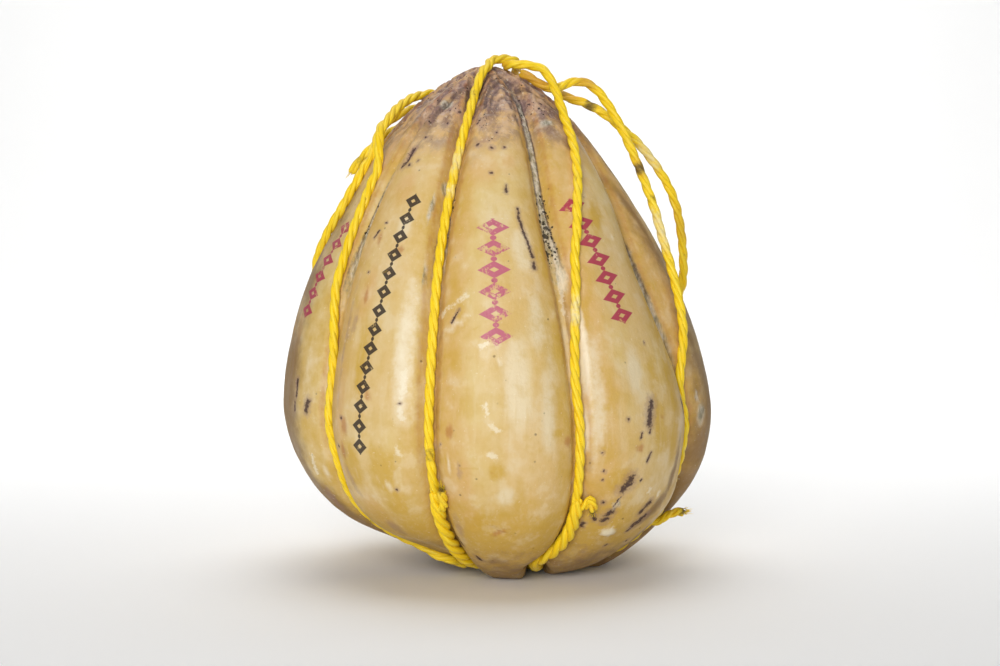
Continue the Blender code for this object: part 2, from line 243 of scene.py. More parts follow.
def smooth_curve(knots, values, where):
    """The value of the smooth curve through (knots, values), held level past its ends."""
    knots, values = np.array(knots, float), np.array(values, float)
    where = np.clip(where, knots[0], knots[-1])
    last = len(knots) - 1
    i = np.clip(np.searchsorted(knots, where, side="right") - 1, 0, last - 1)
    before = np.maximum(np.arange(last + 1) - 1, 0)
    after = np.minimum(np.arange(last + 1) + 1, last)
    slopes = (values[after] - values[before]) / (knots[after] - knots[before])
    span = knots[i + 1] - knots[i]
    t = (where - knots[i]) / span
    return (
        (1 + 2 * t) * (1 - t) ** 2 * values[i]
        + t * (1 - t) ** 2 * span * slopes[i]
        + t * t * (3 - 2 * t) * values[i + 1]
        + t * t * (t - 1) * span * slopes[i + 1]
    )


def centre_line(height):
    """Where the leaning centre line is at a height."""
    base = BASE_SWAY * np.exp(-np.maximum(height, 0) / BASE_SWAY_FADES_OVER)
    spread = (height - SHOULDER_SWAY_HEIGHT) / SHOULDER_SWAY_SPREAD
    return CENTRE_X + base + SHOULDER_SWAY * np.exp(-spread * spread)


def crest_outline(latitude):
    """Radius and height of the lobes' crests at a latitude in degrees."""
    rise = np.sin(np.radians(latitude))
    over = np.clip(1 - np.maximum(rise, 0) ** SHOULDER_BULGE, 0, 1) ** SHOULDER_TAPER
    under = np.maximum(np.cos(np.radians(latitude)), 0) ** UNDERSIDE_TAPER
    radius = WIDEST_RADIUS * np.where(rise >= 0, over, under)
    reach = np.where(rise >= 0, CROWN_HEIGHT - WIDEST_HEIGHT, UNDERSIDE_DROP)
    return radius, WIDEST_HEIGHT + reach * rise


def outward(latitude):
    """The outline's outward direction, as its share along the radius and its share upwards."""
    r0, z0 = crest_outline(np.clip(latitude - 0.5, -89.99, 89.99))
    r1, z1 = crest_outline(np.clip(latitude + 0.5, -89.99, 89.99))
    length = np.hypot(r1 - r0, z1 - z0)
    along, up = (z1 - z0) / length, (r0 - r1) / length
    pole = np.abs(latitude) > 89
    return np.where(pole, 0, along), np.where(pole, np.sign(latitude), up)


def groove_turn(groove, latitude):
    """The turn of a groove's floor at a latitude; groove 8 is groove 0 again."""
    laps, which = divmod(groove, LOBES)
    return 360 * laps + smooth_curve(GROOVE_LATITUDES, GROOVE_TURNS[which], latitude)


def between_grooves(turn, latitude):
    """Distance from the nearest groove's floor, half the lobe's width, the groove and the lobe."""
    turns = np.stack([groove_turn(g, latitude) for g in range(LOBES + 1)])
    turn = turns[0] + (turn - turns[0]) % 360
    lobe = np.clip((turns[:LOBES] <= turn).sum(axis=0) - 1, 0, LOBES - 1)
    start = np.take_along_axis(turns, lobe[None], 0)[0]
    end = np.take_along_axis(turns, lobe[None] + 1, 0)[0]
    radius = np.maximum(crest_outline(latitude)[0], 1 * MM)
    to_groove = np.minimum(turn - start, end - turn)
    nearest = np.where(turn - start <= end - turn, lobe, (lobe + 1) % LOBES)
    return np.radians(to_groove) * radius, np.radians(end - start) * radius / 2, nearest, lobe


def sink(turn, latitude):
    """How far the surface lies under the crests' outline, from the lobes and grooves."""
    depth = smooth_curve(DEPTH_LATITUDES, GROOVE_DEPTHS_MM, latitude) * MM
    from_groove, half_width, _, lobe = between_grooves(turn, latitude)
    under = smooth_between(-40, -65, latitude)
    floor = FLOOR_WIDTH + (UNDERSIDE_FLOOR_WIDTH - FLOOR_WIDTH) * under
    across = np.clip((from_groove - floor) / np.maximum(half_width - floor, 1e-6), 0, 1)
    bulge = 1 - (1 - across) ** (LOBE_FULLNESS + (UNDERSIDE_FULLNESS - LOBE_FULLNESS) * under)
    rim = smooth_between(HOLLOW_RADIUS, HOLLOW_RADIUS + HOLLOW_RIM, crest_outline(latitude)[0])
    bulge = np.where(latitude < 0, bulge * rim, bulge)
    crests = np.stack([smooth_curve(SINK_LATITUDES, row, latitude) for row in LOBE_SINKS_MM])
    crest = np.take_along_axis(crests, lobe[None], 0)[0] * MM
    return np.where(half_width <= floor, depth, depth * (1 - bulge) + crest * bulge)


def place(turn, latitude, out=0.0):
    """The points this far out from the crests' outline, at turns and latitudes."""
    radius, height = crest_outline(latitude)
    along, up = outward(latitude)
    x = centre_line(height)
    radius = radius + out * along
    turn = np.radians(turn)
    return np.stack([x + radius * np.sin(turn), CENTRE_Y - radius * np.cos(turn), height + out * up], -1)


def waves(points, size, seed, stretch=(1, 1, 1)):
    """Smooth noise from -1 to 1 at each point, with bumps about this size."""
    scale = np.array(stretch, float) / size
    shifted = points * scale + seed * np.array((7.31, 3.17, 5.53))
    return np.array([noise.noise(Vector(p)) for p in shifted])


def far_from_line(points, line):
    """Distance of each point from the nearest of a line's straight pieces."""
    nearest = np.full(points.shape[:-1], 1.0)
    for start, end in zip(line, line[1:]):
        run = end - start
        along = np.clip((points - start) @ run / (run @ run), 0, 1)
        nearest = np.minimum(nearest, np.linalg.norm(points - start - along[..., None] * run, axis=-1))
    return nearest


def creased(points):
    """How deep the creases go at each point of the crests' outline."""
    deep = np.zeros(points.shape[:-1])
    for line, depth, half_width in CREASES:
        route = np.array(line, float)
        far = far_from_line(points, place(route[:, 0], route[:, 1])) / (half_width * MM)
        deep = np.maximum(deep, depth * MM * np.exp(-far * far))
    return deep


def relief(turn, latitude, fine=True):
    """How far out the skin lies from the crests' outline: lobes, channels, swells and folds."""
    points = place(turn, latitude)
    from_groove = between_grooves(turn, latitude)[0]
    upper = smooth_between(-78, -60, latitude)
    fading = 1 - smooth_between(62, 80, latitude)
    channel = 1 - smooth_between(CHANNEL_WIDTH - CHANNEL_WALL, CHANNEL_WIDTH, from_groove)
    lip = np.exp(-((from_groove - CHANNEL_WIDTH - LIP_WIDTH / 2) / (LIP_WIDTH / 2)) ** 2)
    out = -sink(turn, latitude)
    out += (LIP_HEIGHT * lip - CHANNEL_DEPTH * channel) * upper * fading
    grooveless = smooth_between(3 * MM, 16 * MM, from_groove)
    out += SWELLS * waves(points, 60 * MM, 1, (1, 1, 0.6)) * grooveless * upper
    if fine:
        crown = smooth_between(48, 60, latitude) * (1 - smooth_between(84, 90, latitude))
        radial = np.stack([np.radians(turn) * 5.2, latitude / 26, np.zeros_like(turn)], -1)
        seam = np.abs((turn + 180) % 360 - 180) / 180
        pleats = waves(radial, 1, 3) * (1 - smooth_between(0.92, 1, seam))
        out += CROWN_FOLDS * pleats * crown
        wrinkled = 1 - np.abs(waves(points, 8 * MM, 4, (1, 1, 1.5))) * 5
        out -= CROWN_WRINKLES * np.clip(wrinkled, 0, 1) * crown
        out -= creased(points)
        chip = np.linalg.norm(points - place(*np.array(CHIP)), axis=-1) / CHIP_RADIUS
        out += CHIP_HEIGHT * (1 - smooth_between(0.7, 1, chip + 0.35 * waves(points, 4 * MM, 9)))
        out += DENTS * waves(points, 17 * MM, 5) * grooveless
        out += 0.12 * MM * waves(points, 5 * MM, 6) * upper
        in_channel = 1 - smooth_between(0.7, 1.1, from_groove / CHANNEL_WIDTH)
        crusty = in_channel * smooth_between(-12, 12, latitude) * fading
        out += CRUST * np.abs(waves(points, 2.4 * MM, 8)) * crusty
    return out


def surface(turn, latitude, fine=True, out=0.0):
    """The cheese's skin, flattened where it stands."""
    points = place(turn, latitude, relief(turn, latitude, fine) + out)
    points[..., 2] = np.maximum(points[..., 2], 0)
    return points


def make_cheese():
    bm = bmesh.new()
    columns = LOBES * COLUMNS_PER_LOBE
    bmesh.ops.create_uvsphere(bm, u_segments=columns, v_segments=RINGS, radius=1)
    mesh = bpy.data.meshes.new("cheese_rind")
    bm.to_mesh(mesh)
    bm.free()
    unit = np.zeros(len(mesh.vertices) * 3)
    mesh.vertices.foreach_get("co", unit)
    unit = unit.reshape(-1, 3)
    ring = np.degrees(np.arcsin(np.clip(unit[:, 2], -1, 1))) / 90
    latitude = smooth_curve(RING_PLACES, RING_LATITUDES, ring)
    column = np.arctan2(unit[:, 0], -unit[:, 1]) / math.tau * LOBES % LOBES
    lobe = np.floor(column + 1e-4).astype(int) % LOBES
    side = 2 * np.clip(np.where(column > LOBES - 1e-4, 0, column - lobe), 0, 1) - 1
    along = 0.5 + np.sign(side) * (1 - (1 - np.abs(side)) ** COLUMN_SPREAD) / 2
    turns = np.stack([groove_turn(g, latitude) for g in range(LOBES + 1)])
    start = np.take_along_axis(turns, lobe[None], 0)[0]
    end = np.take_along_axis(turns, lobe[None] + 1, 0)[0]
    turn = start + (end - start) * along
    mesh.vertices.foreach_set("co", surface(turn, latitude).ravel())
    mesh.update()
    mesh.shade_smooth()
    return link(bpy.data.objects.new("cheese_rind", mesh)), turn, latitude


cheese, skin_turn, skin_latitude = make_cheese()
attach(cheese, "root")
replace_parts(cheese, "cheese")


# ---- How the rind has aged, and its painted light and shade -----------------------------------
# The finishes are laid on the skin as soft patches, one attribute for each: paler cream crests with
# painted highlights, ochre, rust with a painted line of shade by the twine, browned parts with painted
# shade on the flanks and beside the grooves, mauve bloom on the crown, grey mould in the grooves, dark
# stains and dark crown creases, wax with painted highlights. A patch is
# (turn, latitude, half its width, half its height in mm, degrees that its top leans right).

# Paler cream patches, most of them on the front lobes where they face the front light: partly painted highlight.
CREAM_AND_HIGHLIGHT_PATCHES = (
    (14, 2, 9, 40, 0), (34, 8, 9, 24, 0), (13, 16, 8, 26, 0),
    (6, 6, 14, 44, 0), (-24, 10, 8, 62, 0), (30, 0, 10, 66, 0), (-60, 4, 8, 46, 0), (12, 28, 12, 20, 0),
    (16, 8, 8, 40, 0), (21, 14, 5, 34, 0), (-28, 32, 7, 12, 0), (40, 8, 10, 24, 0), (2, -22, 10, 10, 20),
    (88, 5, 12, 50, 0), (138, 0, 18, 56, 0), (188, 8, 20, 56, 0), (-120, 0, 20, 56, 0),
)
TAN_PATCHES = (
    (-47, 28, 8, 45, 0), (-44, 2, 8, 50, 0), (-13, 8, 6, 70, 0), (-2, 44, 22, 22, 0), (-32, 40, 12, 16, 0),
    (-9, -16, 8, 26, 0), (-38, 20, 9, 26, 6), (12, 46, 9, 10, 0), (-70, 12, 9, 60, 0), (30, -30, 12, 14, 0),
    (32, 46, 8, 20, 0), (-78, 20, 12, 60, 0), (-10, -32, 12, 24, 0), (-12, 24, 7, 26, 0), (20, 57, 8, 9, 0),
    (170, 40, 26, 26, 0), (125, 42, 20, 24, 0), (-150, 30, 14, 40, 0), (-40, -30, 12, 26, 0),
)
OCHRE_PATCHES = (
    (-31, -27, 17, 24, 0), (-42, -14, 13, 26, 0), (38, -30, 22, 22, 0), (54, -4, 9, 40, 0), (62, -10, 12, 40, 0),
    (20.5, -7, 3.6, 10, 0), (16, -3, 6, 5, 0), (0, -14, 9, 8, 0),
    (-7, -31, 13, 14, 0), (-31, -15, 17, 26, 0), (34, -18, 13, 15, 0), (47, 2, 9, 44, 0),
    (54, 8, 11, 70, 0), (-86, -10, 12, 40, 0), (20, 30, 4, 34, 0), (-66, -30, 16, 22, 0), (48, -8, 12, 16, 0),
    (95, -25, 20, 24, 0), (120, -10, 9, 50, 0), (150, -30, 24, 20, 0), (-170, -20, 9, 40, 0), (45, -34, 18, 12, 0),
    (-135, -30, 20, 24, 0), (175, 20, 9, 44, 0), (60, 32, 6, 44, 0), (44, 34, 8, 24, 20), (-37, 8, 5, 40, 0),
)
RUST_PATCHES = (
    (-12, -2.5, 3.4, 6, 8), (-1, -14, 1.6, 1.6, 0), (48, 0, 3.4, 2.2, 0), (-28, 28, 3, 4, 0), (-46, 33, 3.4, 15, 8),
    (-38, 20, 2.4, 7, 0), (-42, -2, 4, 8, 0), (19, -6, 3.4, 5, 0), (105, 10, 3, 8, 0), (150, 14, 4, 7, 0),
    (-160, -4, 3, 9, 0), (-110, 12, 4, 6, 0), (-1, -35, 8, 2.6, -32), (40, -9, 4, 4, 0), (-34, 4, 3, 5, 0),
    (-44, -10, 2.6, 9, 0), (-31, 24, 1.8, 2.4, 0), (-37, 30, 2.4, 6, 0),
)
# Browned patches; those on the lobes' outer edges, left and right of the front, are painted shade.
BROWN_AND_SHADE_PATCHES = (
    (-14, 68, 6, 10, 0), (-30, 66, 8, 8, 20), (0, 62, 5, 6, 0), (22, 66, 8, 6, 0),
    (-40, 60, 5, 10, 34), (-44, 52, 4, 12, 24), (50, 50, 8, 10, 0), (54, -30, 7, 24, 20),
    (76, 34, 6, 50, 0), (90, 44, 12, 26, 0), (-92, 40, 9, 30, 0), (-73, 0, 7, 34, 0), (-76, -24, 9, 40, 0),
    (66, -44, 16, 16, 0), (80, -25, 10, 34, 0), (-60, -48, 20, 10, 0), (100, 52, 22, 20, 0), (84, 5, 9, 24, 0),
    (-170, 55, 26, 18, 0), (140, -50, 20, 14, 0), (-120, 50, 20, 22, 0), (-140, -52, 20, 12, 0),
    (2, 70, 14, 12, 0), (30, 72, 16, 9, 0), (57, -20, 5, 40, 0), (34, 62, 5, 10, 20), (51, 58, 9, 11, 10),
)
BLOOM_PATCHES = (
    (-36, 48, 4, 11, 20), (-34, 57, 6, 8, 30), (-23, 61, 10, 9, 20), (-20, 70, 16, 9, 0), (1, 56, 7, 11, 0),
    (3, 51, 9, 5, 0), (46, 60, 10, 8, 0), (36, 60, 8, 6, 0), (-47, 60, 5, 14, 36), (-41, 15, 4, 15, 8),
    (-44, -20, 4, 18, -10), (-39, -37, 8, 14, 0), (-43, -10, 4, 5, 0), (-15, -36, 5, 18, 0), (48, -38, 6, 5, 30),
    (-66, 4, 3, 9, 0), (-67, -30, 6, 20, 20), (150, 62, 14, 12, 0), (-140, 60, 14, 12, 0), (-100, 58, 9, 14, 0),
    (120, -30, 5, 10, 0), (-10, -14, 3, 12, 0), (-14, 40, 3, 12, 0), (-58, 33, 4, 6, 0), (60, -40, 6, 10, 30),
    (-44, 12, 2, 60, 0), (200, 58, 16, 12, 0), (90, 60, 12, 10, 0),
)
# Pale waxy film; the long strips on the lobes either side of the front, at (-24, 12) and (28, 4), are painted
# highlights.
WAX_AND_HIGHLIGHT_PATCHES = (
    (-24, 12, 9, 52, 0), (28, 4, 7, 48, 0), (-9, 16, 3, 12, 58), (-31, -20, 3, 7, -12), (-13, -13, 1.6, 9, 0),
    (2, 10, 2.4, 5, 0), (-60, -20, 2.6, 10, 20), (48, 30, 1.8, 3, 0), (130, 10, 3, 40, 0), (-164, 10, 4, 40, 0),
    (-58, 33, 3, 4, 0), (186, -14, 3, 12, 10), (42, 56, 8, 3, -20), (22, 10, 3.4, 34, 0),
    (-8, 66, 7, 4, 0), (70, -30, 2.4, 8, 20), (74, -3, 5, 9, 0), (-47, 34, 2.4, 5, 10), (38, -39, 4.4, 3.4, 0),
)
MOULD_PATCHES = (  # out of the grooves
    (36, -28, 2.6, 9, 10), (-16, 41, 2.4, 6, 0), (-19.6, 36, 1.8, 13, 4), (-19.8, 24, 1.3, 10, 0), (-30, 62, 6, 5, 0), (44, 56, 7, 3, 0), (72, 2, 2.6, 5, 0),
    (74, -2, 5, 9, 0),
)
# The strips beside the right front groove are a painted highlight; the last one is the wax flake.
GROOVE_WAX_AND_HIGHLIGHT = ((26.4, 12, 3.6, 32, 0), (25.4, 24, 3.2, 9, 0), (24.6, -6, 2.4, 20, 0), (38.3, -38.7, 5, 4, 0))
GROOVE_MOULD = (  # of each groove: from this latitude to this one and how thick, then the same for black specks
    (0, 46, 0.7, 20, 32, 0.5), (22, 40, 0.8, 30, 37, 0.8), (28, 44, 0.8, 31, 44, 0.6), (26, 66, 0.8, 27, 39, 1.0),
    (10, 58, 0.8, 36, 44, 0.6), (0, 50, 0.7, 6, 30, 0.5), (4, 50, 0.8, 30, 44, 0.6), (-6, 46, 0.7, 12, 24, 0.6),
)
BACK_BLEMISHES = 44
BACK_LIES_FROM = 88  # turn where the side that is made up begins, as far as -88


def mark_strength(turn, latitude, half_across, half_along, lean, soft=0.75):
    """How strongly each point of the skin lies in an oval patch: 1 in its middle, 0 outside."""
    def at(turn, latitude):
        return place(np.array([float(turn)]), np.array([float(latitude)]), -2 * MM)[0]

    middle = at(turn, latitude)
    east = at(turn + 1, latitude) - at(turn - 1, latitude)
    up = at(turn, latitude + 1) - at(turn, latitude - 1)
    east, up = east / np.linalg.norm(east), up / np.linalg.norm(up)
    way = skin - middle
    lean = math.radians(lean)
    across = way @ east * math.cos(lean) - way @ up * math.sin(lean)
    along = way @ east * math.sin(lean) + way @ up * math.cos(lean)
    far = np.hypot(across / (half_across * MM), along / (half_along * MM))
    same_side = np.abs(way @ np.cross(east, up)) < 45 * MM
    return (1 - smooth_between(1 - soft, 1, far)) * same_side


def strongest(patches, soft=0.75):
    found = np.zeros(len(skin))
    for patch in patches:
        found = np.maximum(found, mark_strength(*patch, soft=soft))
    return found


def lay_on(name, strength):
    attribute = cheese.data.attributes.new(name, "FLOAT", "POINT")
    attribute.data.foreach_set("value", np.clip(strength, 0, 1).astype(np.float32))


def blemishes(seed, count, half_width, half_height):
    """Patches strewn over the side away from the front."""
    chance = random.Random(seed)
    return tuple((chance.uniform(BACK_LIES_FROM, 360 - BACK_LIES_FROM), chance.uniform(-48, 50),
                  half_width * chance.uniform(0.4, 1.3), half_height * chance.uniform(0.4, 1.4),
                  chance.uniform(-16, 24)) for _ in range(count))


skin = np.zeros(len(cheese.data.vertices) * 3)
cheese.data.vertices.foreach_get("co", skin)
skin = skin.reshape(-1, 3)
from_groove, half_lobe, groove, lobe = between_grooves(skin_turn, skin_latitude)
crest = smooth_between(0.15, 0.8, from_groove / half_lobe)
left_of_crest = (1 - from_groove / half_lobe) * np.where(groove == lobe, 1, -1)
warm_side = smooth_between(0.1, 0.8, left_of_crest) * smooth_between(-52, -20, skin_latitude)
crown = smooth_between(45, 62, skin_latitude + 5 * waves(skin, 16 * MM, 11))
underneath = smooth_between(-34, -62, skin_latitude)
mould_width = 0.42 + 0.58 * smooth_between(38, 22, skin_latitude)
in_groove = 1 - smooth_between(0.7, 1.25, from_groove / CHANNEL_WIDTH / mould_width)
mouldy, specked = np.zeros(len(skin)), np.zeros(len(skin))
for number, (lowest, highest, amount, specks_from, specks_to, specks_amount) in enumerate(GROOVE_MOULD):
    reach = smooth_between(lowest - 12, lowest + 8, skin_latitude)
    reach *= 1 - smooth_between(highest - 6, highest + 14, skin_latitude)
    mouldy = np.maximum(mouldy, (groove == number) * reach * amount)
    reach = smooth_between(specks_from - 4, specks_from + 3, skin_latitude)
    reach *= 1 - smooth_between(specks_to - 3, specks_to + 4, skin_latitude)
    specked = np.maximum(specked, (groove == number) * reach * specks_amount)
edge = np.exp(-((from_groove - 0.92 * CHANNEL_WIDTH * mould_width) / (0.8 * MM)) ** 2)
edge = edge * mouldy * smooth_between(10, 24, skin_latitude)
# Painted shade just outside the twine's channel.
twine_shade_line = np.exp(-((from_groove - CHANNEL_WIDTH - 0.9 * MM) / (1.3 * MM)) ** 2)
# Painted shade down the flanks, where the lobes turn away from the front light.
from_front = np.abs((skin_turn + 180) % 360 - 180)
on_left = (skin_turn + 180) % 360 < 180
painted_edge_shade = smooth_between(np.where(on_left, 59, 63), np.where(on_left, 70, 77), from_front)
painted_edge_shade = painted_edge_shade * smooth_between(np.where(on_left, 96, 102), np.where(on_left, 76, 82), from_front)
painted_edge_shade = painted_edge_shade * (1 - 0.5 * smooth_between(8, 40, skin_latitude)) * (0.86 + 0.5 * waves(skin, 26 * MM, 12))
creases = smooth_between(0, 0.5 * MM, creased(place(skin_turn, skin_latitude)))
rounded = smooth_between(0.05, 0.55, from_groove / half_lobe)
# Paler cream on the crests and in patches, partly painted highlight.
lay_on("cream_and_highlight", np.maximum(0.9 * strongest(CREAM_AND_HIGHLIGHT_PATCHES, 0.95) * rounded, 0.3 * crest) * (1 - 0.85 * warm_side))
lay_on("tan", np.maximum(0.8 * strongest(TAN_PATCHES, 0.9), np.maximum(
    0.7 * smooth_between(32, 54, skin_latitude), 0.75 * warm_side)))
lay_on("ochre", np.maximum(0.85 * strongest(OCHRE_PATCHES, 0.95), np.maximum(
    0.85 * smooth_between(-10, -40, skin_latitude), 0.5 * (1 - crest))))
# Rust spots, and a painted orange-brown line of shade along both sides of the twine's channel.
lay_on("rust_and_twine_shade", np.maximum(strongest(RUST_PATCHES + blemishes(3, BACK_BLEMISHES // 2, 4, 7), 0.9),
                          0.5 * twine_shade_line * smooth_between(-30, 0, skin_latitude)))
# Brown: browned patches, darker towards the bottom, painted shade beside each lobe's left groove and on the flanks.
brown_and_shade = np.maximum(0.9 * strongest(BROWN_AND_SHADE_PATCHES, 0.95), 0.6 * underneath)
brown_and_shade = np.maximum(brown_and_shade, 0.42 * smooth_between(0.72, 0.98, left_of_crest) * smooth_between(-50, -30, skin_latitude))
lay_on("brown_and_shade", np.maximum(brown_and_shade, painted_edge_shade * smooth_between(56, 30, skin_latitude)))
lay_on("crown", crown)
lay_on("bloom", np.maximum(0.66 * strongest(BLOOM_PATCHES + blemishes(4, BACK_BLEMISHES // 4, 7, 14), 0.85), np.maximum(
    0.5 * crown, 0.4 * smooth_between(-34, -52, skin_latitude))))
# Dark stains, dark lines at the grooves' edges, and the crown's creases darkened along their lines.
lay_on("stains_and_dark_creases", np.maximum(strongest(blemishes(5, BACK_BLEMISHES // 2, 1.8, 8), 0.8), np.maximum(
    0.6 * creases * crown, 0.95 * edge)))
# Wax film and painted highlight strips.
lay_on("wax_and_highlight", np.maximum(0.62 * strongest(WAX_AND_HIGHLIGHT_PATCHES + blemishes(6, BACK_BLEMISHES // 3, 3, 9), 0.8),
                         strongest(GROOVE_WAX_AND_HIGHLIGHT, 0.6)))
lay_on("mould", np.maximum(mouldy * in_groove, strongest(MOULD_PATCHES, 0.8) * 0.8))
deep = in_groove * smooth_between(-40, -66, skin_latitude)
soot = np.maximum(specked * (1 - smooth_between(0.5, 1.05, from_groove / CHANNEL_WIDTH)), 0.8 * deep)
lay_on("soot", np.maximum(soot, np.maximum(0.26 * crown, 0.5 * strongest(BLOOM_PATCHES[:8], 0.8))))


class Nodes:
    """Short ways to set out a material's or a group's nodes."""

    def __init__(self, tree):
        self.tree = tree

    def add(self, kind, **settings):
        made = self.tree.nodes.new(kind)
        for name, value in settings.items():
            setattr(made, name, value)
        return made

    def feed(self, socket, value):
        if isinstance(value, bpy.types.NodeSocket):
            self.tree.links.new(value, socket)
        elif isinstance(value, tuple) and len(value) == 3 and socket.type == "RGBA":
            socket.default_value = (*value, 1)
        else:
            socket.default_value = value

    def value(self, operation, a, b=0.5, c=0.5):
        made = self.add("ShaderNodeMath", operation=operation)
        for socket, given in zip(made.inputs, (a, b, c)):
            self.feed(socket, given)
        return made.outputs[0]

    def vector(self, operation, a, b=(0, 0, 0), scale=None, out="Vector"):
        made = self.add("ShaderNodeVectorMath", operation=operation)
        self.feed(made.inputs[0], a)
        self.feed(made.inputs[1], b)
        if scale is not None:
            self.feed(made.inputs["Scale"], scale)
        return made.outputs[out]

    def step(self, value, low, high, to_low=0.0, to_high=1.0):
        """A smooth rise from to_low to to_high as the value goes from low to high."""
        made = self.add("ShaderNodeMapRange", interpolation_type="SMOOTHSTEP")
        for socket, given in zip(made.inputs, (value, low, high, to_low, to_high)):
            self.feed(socket, given)
        return made.outputs["Result"]

    def mix(self, share, a, b, blend="MIX"):
        made = self.add("ShaderNodeMix", data_type="RGBA", blend_type=blend)
        self.feed(made.inputs["Factor"], share)
        self.feed(made.inputs[6], a)
        self.feed(made.inputs[7], b)
        return made.outputs[2]

    def noise(self, place, size, detail=2.0, roughness=0.5, distortion=0.0, out="Fac"):
        """Noise from 0 to 1 with bumps of this size in metres."""
        made = self.add("ShaderNodeTexNoise")
        self.feed(made.inputs["Vector"], place)
        made.inputs["Scale"].default_value = 1 / size
        made.inputs["Detail"].default_value = detail
        made.inputs["Roughness"].default_value = roughness
        made.inputs["Distortion"].default_value = distortion
        return made.outputs[out]

    def scaled(self, place, x, y, z):
        made = self.add("ShaderNodeMapping")
        made.inputs["Scale"].default_value = (x, y, z)
        self.feed(made.inputs["Vector"], place)
        return made.outputs[0]

    def attribute(self, name):
        return self.add("ShaderNodeAttribute", attribute_name=name).outputs["Fac"]

    def group(self, tree, **inputs):
        made = self.add("ShaderNodeGroup", node_tree=tree)
        for name, value in inputs.items():
            self.feed(made.inputs[name.replace("_", " ")], value)
        return made.outputs[0]


def new_group(name, inputs, output):
    """An empty node group, its Nodes, its input sockets by name and what takes its output."""
    tree = bpy.data.node_groups.new(name, "ShaderNodeTree")
    for title, kind in inputs.items():
        tree.interface.new_socket(title, in_out="INPUT", socket_type=kind)
    tree.interface.new_socket(output[0], in_out="OUTPUT", socket_type=output[1])
    nodes = Nodes(tree)
    entry = nodes.add("NodeGroupInput")
    leave = nodes.add("NodeGroupOutput")
    return tree, nodes, {title: entry.outputs[title] for title in inputs}, leave.inputs[0]


def ragged_group():
    """A patch's strength made ragged: noise decides where it shows, and how far it reaches."""
    tree, nodes, given, out = new_group("ragged_patch", {
        "Place": "NodeSocketVector", "Strength": "NodeSocketFloat", "Size": "NodeSocketFloat",
        "Softness": "NodeSocketFloat"}, ("Mask", "NodeSocketFloat"))
    noise_node = nodes.add("ShaderNodeTexNoise")
    nodes.feed(noise_node.inputs["Vector"], given["Place"])
    nodes.feed(noise_node.inputs["Scale"], nodes.value("DIVIDE", 1.0, given["Size"]))
    noise_node.inputs["Detail"].default_value = 5
    noise_node.inputs["Roughness"].default_value = 0.62
    summed = nodes.value("ADD", noise_node.outputs["Fac"], given["Strength"])
    low = nodes.value("SUBTRACT", 1.0, given["Softness"])
    high = nodes.value("ADD", 1.0, given["Softness"])
    rise = nodes.step(summed, low, high)
    present = nodes.step(given["Strength"], 0.0, 0.25)
    nodes.feed(out, nodes.value("MULTIPLY", rise, present))
    return tree


def specks_group():
    """Black specks of mould: small uneven dots, more of them where the density is higher."""
    tree, nodes, given, out = new_group("mould_specks", {
        "Place": "NodeSocketVector", "Density": "NodeSocketFloat", "Size": "NodeSocketFloat"},
        ("Mask", "NodeSocketFloat"))
    scale = nodes.value("DIVIDE", 1.0, given["Size"])
    wobble = nodes.add("ShaderNodeTexNoise")
    nodes.feed(wobble.inputs["Vector"], given["Place"])
    nodes.feed(wobble.inputs["Scale"], nodes.value("MULTIPLY", scale, 1.7))
    wobble.inputs["Detail"].default_value = 3
    cells = nodes.add("ShaderNodeTexVoronoi", feature="F1")
    nodes.feed(cells.inputs["Vector"], given["Place"])
    nodes.feed(cells.inputs["Scale"], scale)
    chance = nodes.add("ShaderNodeSeparateColor")
    nodes.feed(chance.inputs[0], cells.outputs["Color"])
    reach = nodes.value("MULTIPLY", given["Density"], nodes.value("MULTIPLY", chance.outputs[0], 0.62))
    reach = nodes.value("ADD", reach, nodes.value("MULTIPLY", nodes.value("SUBTRACT", wobble.outputs["Fac"], 0.5),
                                                  nodes.value("MULTIPLY", given["Density"], 0.9)))
    edge = nodes.value("SUBTRACT", reach, cells.outputs["Distance"])
    nodes.feed(out, nodes.step(edge, -0.03, 0.05))
    return tree


ragged_patch = ragged_group()
mould_specks = specks_group()


# ---- The rind's finish ------------------------------------------------------------------------
# A dried, slightly waxy skin, straw-coloured to ochre, with everything above laid over it, worn
# ink marks stamped on four lobes, streaks of black mould, a dried crack and scars from the shelf.

STRAW = (0.67, 0.497, 0.205)
CREAM_AND_HIGHLIGHT = (0.755, 0.633, 0.415)
TAN = (0.655, 0.405, 0.16)
OCHRE = (0.555, 0.334, 0.034)
BLUSH = (0.55, 0.36, 0.245)
CROWN_PALE = (0.72, 0.585, 0.50)
CROWN_DARK = (0.11, 0.062, 0.066)
RUST_AND_TWINE_SHADE = (0.42, 0.155, 0.038)
BROWN_AND_SHADE = (0.205, 0.112, 0.048)
MAUVE = (0.31, 0.185, 0.165)
STAIN = (0.06, 0.034, 0.034)
MOULD_GREY = (0.20, 0.19, 0.13)
MOULD_WHITE = (0.66, 0.60, 0.49)
WAX_AND_GLINT_WHITE = (0.84, 0.76, 0.58)
SOOT_BLACK = (0.018, 0.014, 0.012)
RED_INK = (0.41, 0.03, 0.085)
FADED_INK = (0.50, 0.11, 0.19)
BLACK_INK = (0.025, 0.018, 0.02)

